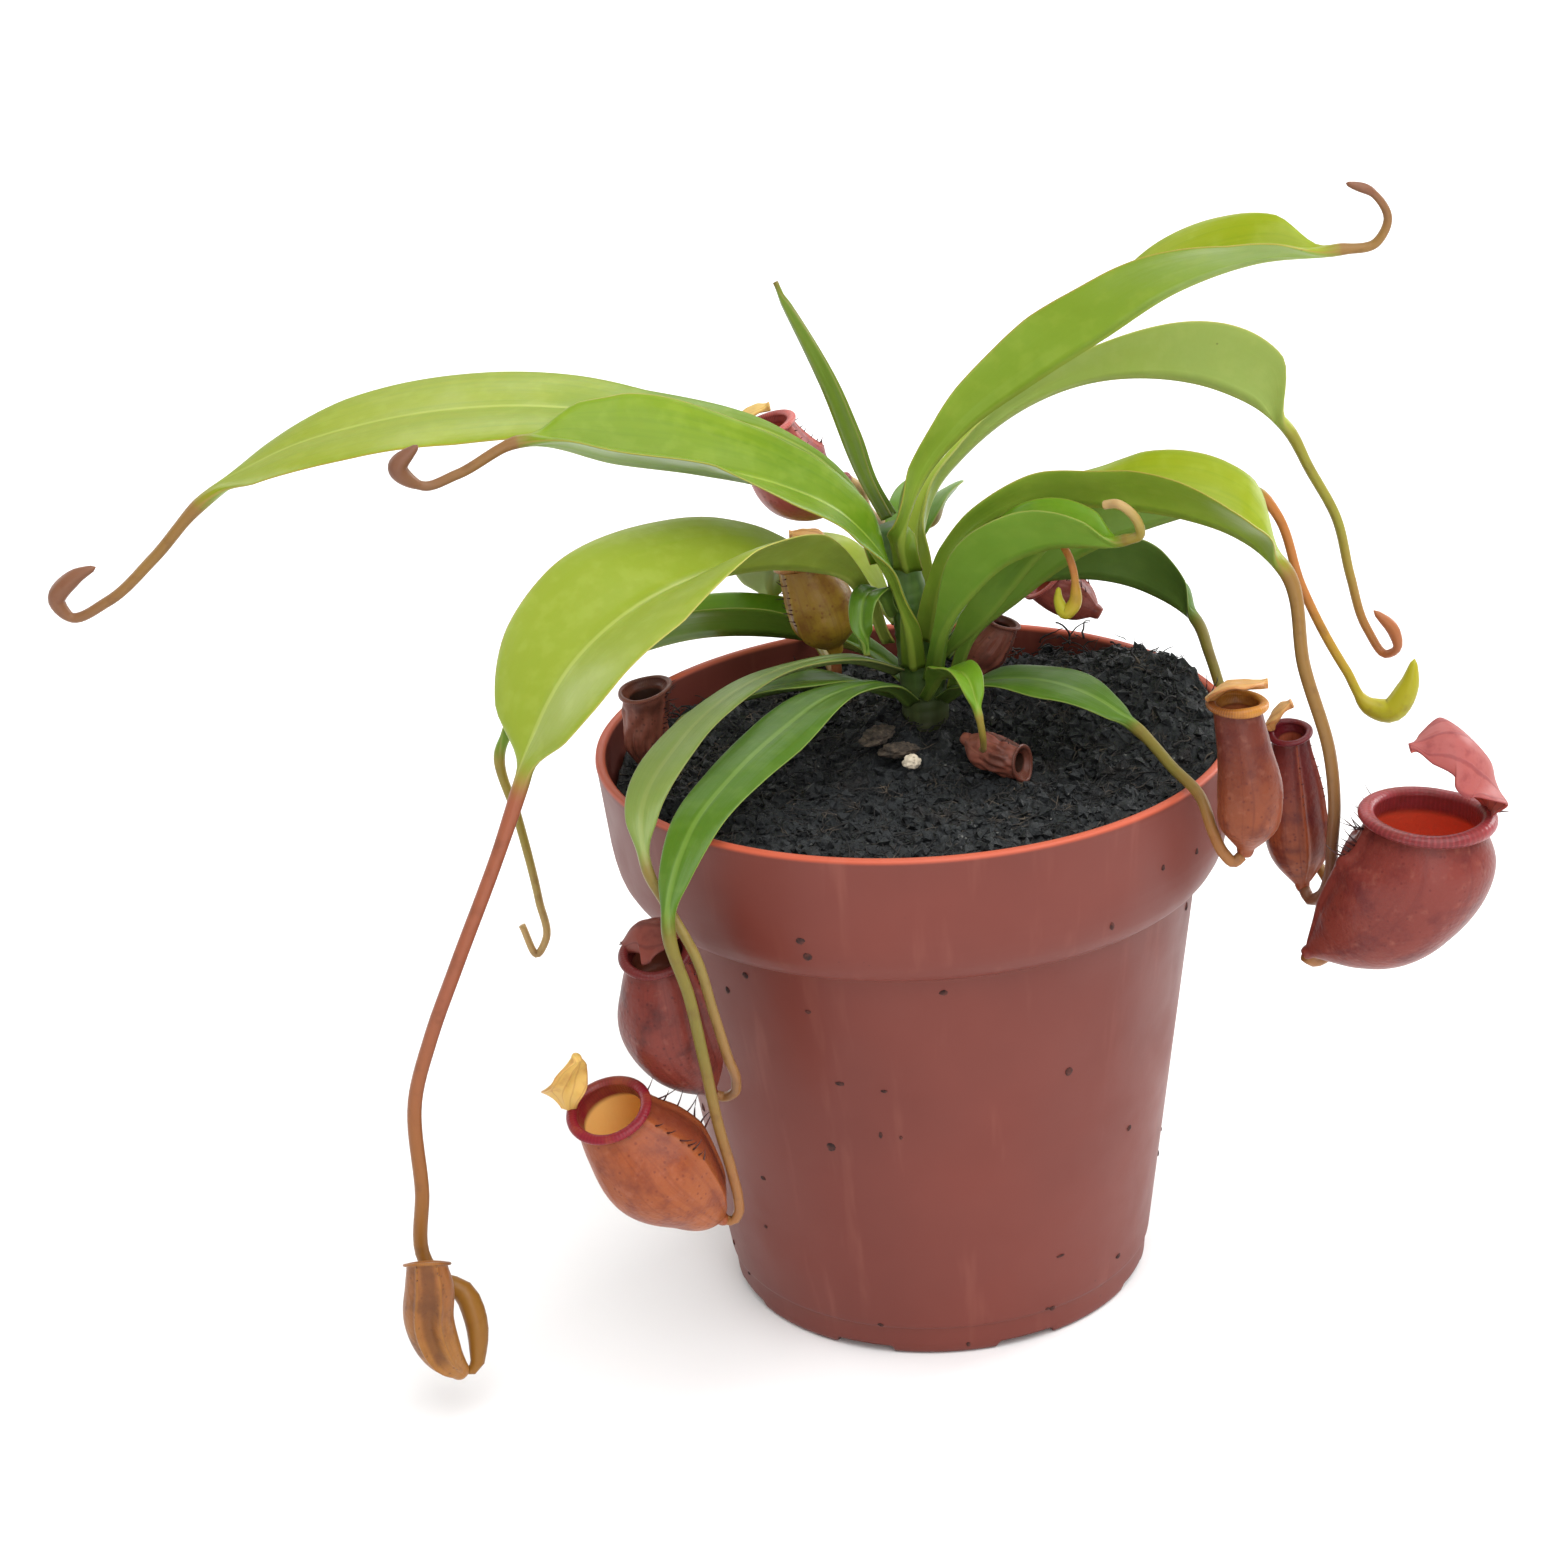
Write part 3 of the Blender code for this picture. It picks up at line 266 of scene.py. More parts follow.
def pot_finish():
    """Terracotta-coloured plastic: faint clouds, pale upright streaks, painted rim highlight,
    specks.
    """
    mat = Finish("pot_plastic_finish", IOR=1.46, Specular_IOR_Level=0.34)
    height = mat.height()
    cloud = mat.noise(28, 4, 0.55)
    colour = mat.ramp(cloud, [(0.3, linear(104, 47, 38)), (0.7, linear(114, 53, 43))])
    # Painted highlight: the rim's top is lightened to a brighter orange, as if lit from above.
    colour = mat.blend(mat.between(height, 0.0823, 0.0829), colour, linear(190, 88, 62))
    streak = mat.noise(240, 3, 0.6, vector=mat.upright(0.06))
    colour = mat.blend(mat.between(streak, 0.55, 0.8, 0, 0.10), colour, linear(196, 128, 110))
    low = mat.between(height, 0.0, 0.03, 1.0, 0.0)
    specks = mat.between(mat.cells(330), mat.calc("MULTIPLY_ADD", low, 0.05, 0.07), 0.0)
    patch = mat.between(mat.noise(60, 2), 0.56, 0.68)
    dust = mat.calc("MULTIPLY", specks, patch)
    colour = mat.blend(mat.calc("MULTIPLY", dust, 0.8), colour, linear(58, 34, 30))
    grain = mat.noise(1500, 2, 0.5)
    rough = mat.between(mat.noise(90, 4), 0.3, 0.75, 0.40, 0.54)
    relief = mat.calc("MULTIPLY_ADD", mat.noise(18, 2), 6.0, grain)
    return mat.cover(colour, rough, relief, strength=0.12, depth=0.00006)


def splash_lumps(spots, seed):
    """Flat lumps on the pot's wall, each at a spot: the rings of a sphere, squashed.

    point = middle + wide sin p cos a * side + tall sin p sin a * up + SPLASH_DEPTH cos p * out,
    with wide and tall drawn for each lump and every point pushed in or out at random.
    """
    rng = np.random.default_rng(seed)
    wall = np.array(POT_PROFILE[OUTER_WALL])
    polar = np.linspace(0.35, math.pi - 0.35, SPLASH_RINGS)[:, None]
    around = circle(SPLASH_COLUMNS)
    all_points, all_faces = [], []
    for compass, height in spots:
        turn = math.radians(compass)
        out = np.array((math.sin(turn), -math.cos(turn), 0.0))
        side = np.array((math.cos(turn), math.sin(turn), 0.0))
        wide, tall = rng.uniform(0.25, 0.7, 2)
        push = rng.uniform(0.7, 1.2, (SPLASH_RINGS, SPLASH_COLUMNS))
        x = wide * push * np.sin(polar) * np.cos(around)
        z = tall * push * np.sin(polar) * np.sin(around)
        y = SPLASH_DEPTH * np.cos(polar)
        middle = np.interp(height, wall[:, 1], wall[:, 0]) * out + height * UP
        grid = middle + x[..., None] * side + y[..., None] * out + z[..., None] * UP
        points, faces = closed_grid(grid)
        start = sum(len(one) for one in all_points)
        all_faces += [tuple(start + corner for corner in face) for face in faces]
        all_points.append(points)
    return np.concatenate(all_points), all_faces


def splash_finish():
    """Dried splashes of peat: dark brown and dull."""
    mat = Finish("pot_splash_finish", Roughness=0.9)
    return mat.cover(mat.ramp(mat.noise(1200, 2), [(0.35, linear(40, 20, 18)),
                                                   (0.65, linear(84, 42, 34))]))


points, faces = closed_grid(pot_grid())
pot = add_mesh("pot_shell", points, faces, pot_finish())
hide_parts("pot")
scatter = np.random.default_rng(3)
low_compass = scatter.uniform(-180, 180, LOW_SPLASHES)
low_height = scatter.uniform(3, 78, LOW_SPLASHES) ** 2 / 78
low_spots = list(zip(low_compass, low_height))
points, faces = splash_lumps(SPLASHES + low_spots, seed=4)
splashes = add_mesh("pot_splashes", points, faces, splash_finish())

# Soil
# Loose black peat with coir and bark fibre. It is filled to just under the rim, mounded round
# the stem and heaped above the rim at the back right, and it holds the plant's roots.

# (x, y, z, radius) of the stem that the soil surrounds, from its foot up
STEM_AXIS = [(1.7, 11, 70, 3.4), (1.7, 11, 84, 3.3), (0.3, 10.5, 99, 2.7),
             (-1.9, 10.5, 110, 2.1)]
HOLE_RADIUS = 3.5
HOLE_FLOOR = 74.0
SOIL_COLUMNS = 300
SOIL_RINGS = 130
SOIL_RADIUS = 42.3
# (radius, height) down the soil's side, inside the pot's wall
SOIL_SIDE = ((41.3, 70), (37.0, 64.9), (28.2, 3.6), (27.6, 2.7))
SOIL_HEIGHT = 77.5
MOUND_HEIGHT = 4.0
MOUND_RADIUS = 11
HEAP_HEIGHT = 7.5
HEAP_COMPASS = 24
HEAP_SPREAD = 34
FRONT_RISE = 1.5
LATTICE_SIDE = 97
CRUMBS = 6000
CRUMB_REACH = 42.0
FIBRES = 1900
FIBRE_REACH = 41.5
STRAND_STEPS = 8
# (x, y, z, strands) of the tufts
TUFTS = [(-38, 17, 80, 14), (-36, 21, 80, 12), (-13.7, 39, 78, 9), (32, 18.6, 85, 12),
         (36.4, 13.8, 85, 12), (38, 5, 84.5, 10), (24, 31, 83, 10), (29, 27, 84, 10),
         (38, -8, 82, 9), (18, 36, 81, 8), (-30, 29, 78, 10), (34, 20, 84, 10)]


def smooth_step(value, start, end):
    """0 before start, 1 after end, and f * f * (3 - 2 f) between."""
    f = np.clip((value - start) / (end - start), 0.0, 1.0)
    return f * f * (3 - 2 * f)


def lumps(x, y, size, seed):
    """Smooth random heights in -1 to 1: the eased blend of a random lattice's corners.

    size is the width of the lattice's cells. It repeats after LATTICE_SIDE of them.
    """
    lattice = np.random.default_rng(seed).uniform(-1, 1, (LATTICE_SIDE, LATTICE_SIDE))
    u, v = x / size + 31.3, y / size + 17.7
    i, j = np.floor(u).astype(int), np.floor(v).astype(int)
    f, g = smooth_step(u - i, 0, 1), smooth_step(v - j, 0, 1)
    i, j, i2, j2 = (k % LATTICE_SIDE for k in (i, j, i + 1, j + 1))
    return ((1 - f) * (1 - g) * lattice[i, j] + f * (1 - g) * lattice[i2, j]
            + (1 - f) * g * lattice[i, j2] + f * g * lattice[i2, j2])


def stem_distance(x, y):
    """How far a place on the soil is from the stem's axis."""
    return np.hypot(x - STEM_AXIS[0][0], y - STEM_AXIS[0][1])


def soil_level(x, y):
    """The soil's broad form: a mound at the stem, a heap at the back right, a raised front.

    Mound and heap are Gaussian, one in distance from the stem and one in compass angle. The
    heap and the raised front grow towards the wall, and two low waves ripple the whole.
    """
    around = np.degrees(np.arctan2(y, x))
    mound = MOUND_HEIGHT * np.exp(-(stem_distance(x, y) / MOUND_RADIUS) ** 2)
    heap = HEAP_HEIGHT * np.exp(-((around - HEAP_COMPASS) / HEAP_SPREAD) ** 2)
    heap = heap * smooth_step(np.hypot(x, y), 12, 37)
    ripple = 0.35 * np.sin(0.9 * x + 1.3) * np.cos(0.7 * y) + 0.25 * np.sin(0.5 * x - 1.1 * y)
    return SOIL_HEIGHT + mound + heap + FRONT_RISE * smooth_step(-y, 5, 35) + ripple


def soil_relief(x, y):
    """Crumbly relief: three sizes of lumps added, the finest folded to sharp ridges."""
    coarse = lumps(x, y, 5.2, 1)
    middle = 0.7 * lumps(x, y, 2.3, 2)
    fine = 0.7 * (0.5 - np.abs(lumps(x, y, 0.9, 3)))
    return coarse + middle + fine


def soil_grid():
    """Rings from the stem's hole out to the pot's wall at soil height, then down the wall."""
    angle = circle(SOIL_COLUMNS)
    spoke = np.stack((np.cos(angle), np.sin(angle)), axis=1)
    hole = np.array(STEM_AXIS[0][:2]) + HOLE_RADIUS * spoke
    share = np.linspace(0, 1, SOIL_RINGS)[:, None, None]
    flat = hole * (1 - share) + SOIL_RADIUS * spoke * share
    x, y = flat[..., 0], flat[..., 1]
    top = soil_level(x, y) + soil_relief(x, y)
    level = np.ones((SOIL_COLUMNS, 1))
    rings = [np.concatenate((hole, HOLE_FLOOR * level), axis=1)[None],
             np.stack((x, y, top), axis=-1)]
    for radius, height in SOIL_SIDE:
        rings.append(np.concatenate((radius * spoke, height * level), axis=1)[None])
    return np.concatenate(rings)


def soil_finish():
    """Near-black damp peat, a little cold in tone, with brown crumbs, grit and wet glints."""
    mat = Finish("soil_peat_finish")
    fine = mat.noise(900, 5, 0.65)
    crumbs = mat.cells(700)
    colour = mat.ramp(fine, [(0.35, linear(10, 12, 14)), (0.55, linear(26, 30, 33)),
                             (0.72, linear(60, 62, 62))])
    colour = mat.blend(mat.between(mat.noise(170, 3), 0.58, 0.75, 0, 0.45), colour,
                       linear(46, 36, 30))
    grit = mat.calc("MULTIPLY", mat.between(mat.cells(520), 0.13, 0.05),
                   mat.between(mat.noise(300, 2), 0.5, 0.6))
    colour = mat.blend(mat.calc("MULTIPLY", grit, 0.8), colour, linear(128, 128, 122))
    rough = mat.between(fine, 0.3, 0.7, 0.42, 0.9)
    relief = mat.calc("ADD", fine, mat.calc("MULTIPLY", crumbs, 0.7))
    return mat.cover(colour, rough, relief, strength=1.0, depth=0.0007)


def crumb_cloud(count, seed):
    """Many small peat crumbs: an octahedron with each corner pulled, scaled and turned.

    Sizes follow a gamma spread, and a crumb lies a quarter of its size above the soil. None
    lies at the stem.
    """
    rng = np.random.default_rng(seed)
    corner = np.array([(1, 0, 0), (-1, 0, 0), (0, 1, 0), (0, -1, 0), (0, 0, 1), (0, 0, -1)],
                      float)
    sides = np.array([(0, 2, 4), (2, 1, 4), (1, 3, 4), (3, 0, 4), (2, 0, 5), (1, 2, 5),
                      (3, 1, 5), (0, 3, 5)])
    reach = CRUMB_REACH * np.sqrt(rng.uniform(0.012, 0.97, count))
    turn = rng.uniform(0, 2 * math.pi, count)
    x, y = reach * np.cos(turn), reach * np.sin(turn)
    clear = stem_distance(x, y) > HOLE_RADIUS + 1.0
    x, y = x[clear], y[clear]
    count = len(x)
    size = rng.gamma(2.2, 0.24, count)[:, None, None].clip(0.15, 1.4)
    shape = rng.uniform(0.5, 1.2, (count, 6, 3)) * corner * size
    turns = rng.normal(size=(count, 3, 3))
    turns, _ = np.linalg.qr(turns)
    turns *= np.sign(np.linalg.det(turns))[:, None, None]
    z = soil_level(x, y) + soil_relief(x, y) + 0.25 * size[:, 0, 0]
    points = np.einsum("nij,nkj->nki", turns, shape) + np.stack((x, y, z), axis=1)[:, None]
    faces = (sides[None] + 6 * np.arange(count)[:, None, None]).reshape(-1, 3)
    return points.reshape(-1, 3), faces.tolist()


def spokes_of(angle, across, front):
    """Directions round a ring, or round many: cos a * across + sin a * front."""
    return (np.cos(angle)[:, None] * across[..., None, :]
            + np.sin(angle)[:, None] * front[..., None, :])


def tubes(paths, radii, sides=4):
    """Thin tapering tubes: rings of radius r about each path's points, shut at both ends.

    paths is (count, steps, 3) and radii is (count, steps). The ring directions are square
    to the path: across = along x up, and lift = across x along.
    """
    count, steps = paths.shape[:2]
    along = np.gradient(paths, axis=1)
    along /= np.linalg.norm(along, axis=-1, keepdims=True) + 1e-9
    helper = np.where(np.abs(along[..., 2:3]) > 0.92, (1.0, 0.0, 0.0), (0.0, 0.0, 1.0))
    across = np.cross(along, helper)
    across /= np.linalg.norm(across, axis=-1, keepdims=True)
    lift = np.cross(across, along)
    ring = spokes_of(circle(sides), across, lift)
    points = paths[:, :, None] + radii[:, :, None, None] * ring
    start = (np.arange(count) * steps * sides)[:, None, None]
    row = (np.arange(steps - 1) * sides)[:, None]
    a = start + row + np.arange(sides)
    b = start + row + (np.arange(sides) + 1) % sides
    quads = np.stack((a, b, b + sides, a + sides), axis=-1).reshape(-1, 4)
    cap = start[:, 0] + np.arange(sides)
    ends = np.concatenate((cap[:, ::-1], cap + (steps - 1) * sides))
    faces = quads[:, ::-1].tolist() + ends[:, ::-1].tolist()
    return points.reshape(-1, 3), faces


def fibre_paths(count, seed):
    """Bent strands that lie on the soil: a random walk of heading, with the ends lifted.

    Gives each strand's points and its radius, which tapers. Points past the wall are pulled in.
    """
    rng = np.random.default_rng(seed)
    reach = FIBRE_REACH * np.sqrt(rng.uniform(0.03, 1, count))
    turn = rng.uniform(0, 2 * math.pi, count)
    length = rng.gamma(3.0, 1.7, count).clip(2, 14)
    heading = rng.uniform(0, 2 * math.pi, count)[:, None] + np.cumsum(
        rng.normal(0, 0.35, (count, STRAND_STEPS)), axis=1)
    stride = (length / STRAND_STEPS)[:, None]
    x = (reach * np.cos(turn))[:, None] + np.cumsum(stride * np.cos(heading), axis=1)
    y = (reach * np.sin(turn))[:, None] + np.cumsum(stride * np.sin(heading), axis=1)
    far = np.maximum(np.hypot(x, y) / CRUMB_REACH, 1.0)
    x, y = x / far, y / far
    lift = rng.gamma(1.3, 0.35, count)[:, None] * np.linspace(0, 1, STRAND_STEPS) ** 2
    z = soil_level(x, y) + soil_relief(x, y) * 0.5 + 0.35 + lift
    radii = rng.uniform(0.05, 0.13, (count, 1)) * np.linspace(1, 0.6, STRAND_STEPS)
    return np.stack((x, y, z), axis=-1), radii


def tuft_paths(seed):
    """Loose tufts of coir that stand above the soil: random walks of heading and of climb.

    Gives each strand's points and its radius, which tapers. A climb starts upward and falls.
    """
    rng = np.random.default_rng(seed)
    roots = np.repeat(np.array([tuft[:3] for tuft in TUFTS], float),
                      [tuft[3] for tuft in TUFTS], axis=0)
    count = len(roots)
    heading = rng.uniform(0, 2 * math.pi, count)[:, None] + np.cumsum(
        rng.normal(0, 0.5, (count, STRAND_STEPS)), axis=1)
    climb = rng.uniform(0.0, 0.9, count)[:, None] + np.cumsum(
        rng.normal(-0.16, 0.3, (count, STRAND_STEPS)), axis=1)
    stride = rng.uniform(0.3, 0.75, count)[:, None]
    move = np.stack((np.cos(heading) * np.cos(climb), np.sin(heading) * np.cos(climb),
                     np.sin(climb)), axis=-1) * stride[..., None]
    roots = roots[:, None] + rng.normal(0, 1.6, (count, 1, 3)) * (1, 1, 0.2)
    radii = rng.uniform(0.08, 0.2, (count, 1)) * np.linspace(1, 0.4, STRAND_STEPS)
    return roots + np.cumsum(move, axis=1), radii


def fibre_finish():
    """Coir and root threads: dark grey-brown, some paler."""
    mat = Finish("soil_fibre_finish", Roughness=0.8)
    shade = mat.noise(260, 2)
    colour = mat.ramp(shade, [(0.42, linear(16, 16, 17)), (0.58, linear(48, 44, 41)),
                              (0.78, linear(112, 98, 82))])
    return mat.cover(colour, relief=mat.noise(2500, 2), strength=0.4, depth=0.0001)


peat = soil_finish()
points, faces = closed_grid(soil_grid())
soil = add_mesh("soil_bed", points, faces, peat)
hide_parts("soil")
points, faces = crumb_cloud(CRUMBS, seed=11)
crumbs = add_mesh("soil_crumbs", points, faces, peat)
crumbs.data.shade_flat()
coir = fibre_finish()
for name, (paths, radii) in (("soil_fibres", fibre_paths(FIBRES, seed=5)),
                             ("soil_tufts", tuft_paths(seed=8))):
    points, faces = tubes(paths, radii)
    fibres = add_mesh(name, points, faces, coir)

# Stem
# One short, upright green stem, ringed by the scars and sheathing feet of its leaves. It
# stands in the soil, where its roots hold it.

STEM_ROWS = 90
STEM_COLUMNS = 40
SCAR_SWELL = 0.12


def unit(vector):
    """A vector, or each row of an array of vectors, divided by its own length."""
    vector = np.asarray(vector, float)
    return vector / np.linalg.norm(vector, axis=-1, keepdims=True)


def curve_at(points, runs):
    """Values and directions of a cubic Hermite curve through the points, at given runs.

    The slope at each point is the central difference of its neighbours.
    """
    nodes = np.array(points, float)
    knots = knots_of(points)
    slopes = np.gradient(nodes, knots, axis=0)
    span = np.clip(np.searchsorted(knots, runs, side="right") - 1, 0, len(knots) - 2)
    gap = (knots[span + 1] - knots[span])[:, None]
    f = (runs - knots[span])[:, None] / gap
    start, end = nodes[span], nodes[span + 1]
    leave, arrive = slopes[span] * gap, slopes[span + 1] * gap
    value = ((2 * f**3 - 3 * f**2 + 1) * start + (f**3 - 2 * f**2 + f) * leave
             + (3 * f**2 - 2 * f**3) * end + (f**3 - f**2) * arrive)
    slope = ((6 * f**2 - 6 * f) * (start - end) + (3 * f**2 - 4 * f + 1) * leave
             + (3 * f**2 - 2 * f) * arrive)
    return value, unit(slope[:, :3])


def carry(normals, first):
    """Directions square to each normal in turn, starting from first and never twisting."""
    carried = [unit(first - normals[0] * np.dot(first, normals[0]))]
    for normal in normals[1:]:
        carried.append(unit(carried[-1] - normal * np.dot(carried[-1], normal)))
    return np.array(carried)


def stem_grid():
    """Rings about the stem's axis, whose radius swells by SCAR_SWELL every 1.5 mm."""
    runs = np.linspace(0, knots_of(STEM_AXIS)[-1], STEM_ROWS)
    value, along = curve_at(STEM_AXIS, runs)
    level = carry(along, np.array((1.0, 0.0, 0.0)))
    ring = spokes_of(circle(STEM_COLUMNS), level, np.cross(level, along))
    radius = value[:, 3] + SCAR_SWELL * np.cos(runs * 2.1) ** 8
    return value[:, None, :3] + radius[:, None, None] * ring


def stem_finish():
    """Green stem tissue, browner at the soil, with fine fibres along it."""
    mat = Finish("stem_green_finish", Subsurface_Weight=0.08, Subsurface_Scale=0.001)
    grain = mat.noise(900, 3, vector=mat.upright(0.1))
    green = mat.blend(mat.between(grain, 0.3, 0.7), linear(58, 88, 32), linear(82, 110, 44))
    colour = mat.blend(mat.between(mat.height(), 0.078, 0.092, 0.8, 0.0), green,
                       linear(58, 50, 34))
    return mat.cover(colour, mat.between(grain, 0.3, 0.7, 0.4, 0.6), grain, 0.3, 0.0001)


points, faces = closed_grid(stem_grid())
stem = add_mesh("stem_rod", points, faces, stem_finish())
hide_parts("stem")

# Leaves
# Leathery strap leaves, folded along a keeled midrib and narrowed to a foot that clasps the
# stem. The midrib grows on past the tip as a tendril, which hooks or carries a pitcher.

RIB_THICKNESS = 1.1
MARGIN_HALF = 0.25
KEEL_DEPTH = 0.22
FOLD_ROUNDING = 0.04
BLADE_BOW = 0.16
RIPPLE_TURN = 17
ROUNDING_START = 0.9
TENDRIL_SLIMMING = 0.14
TIP_START = 0.985
LEAST_RADIUS = 0.08
LEAF_ROWS = 84
TENDRIL_ROWS = 64


def leaf(base, blade, tendril, half_width, belly, right, left, look, across=23,
         petiole=1.8, tendril_radius=(1.0, 0.8), bud=None, opening=0.35, wave=0.25):
    """One leaf: where it starts on the stem, its midrib, its tendril and its blade.

    base is (height, compass angle) on the stem, belly is how far along the blade is widest,
    opening is how far along it has spread out of its narrow foot, and right and left are how
    many degrees each half of the blade rises from level, at even stations from the stem to
    the tip. look names its tints, across is how many points span it, petiole is half its
    foot's width, tendril_radius is (start, end), bud is (share of the tendril, radius) and
    wave is how far the margin ripples.
    """
    return dict(base=base, blade=blade, tendril=tendril, half_width=half_width, belly=belly,
                right=right, left=left, look=look, across=across, petiole=petiole,
                tendril_radius=tendril_radius, bud=bud, opening=opening, wave=wave)


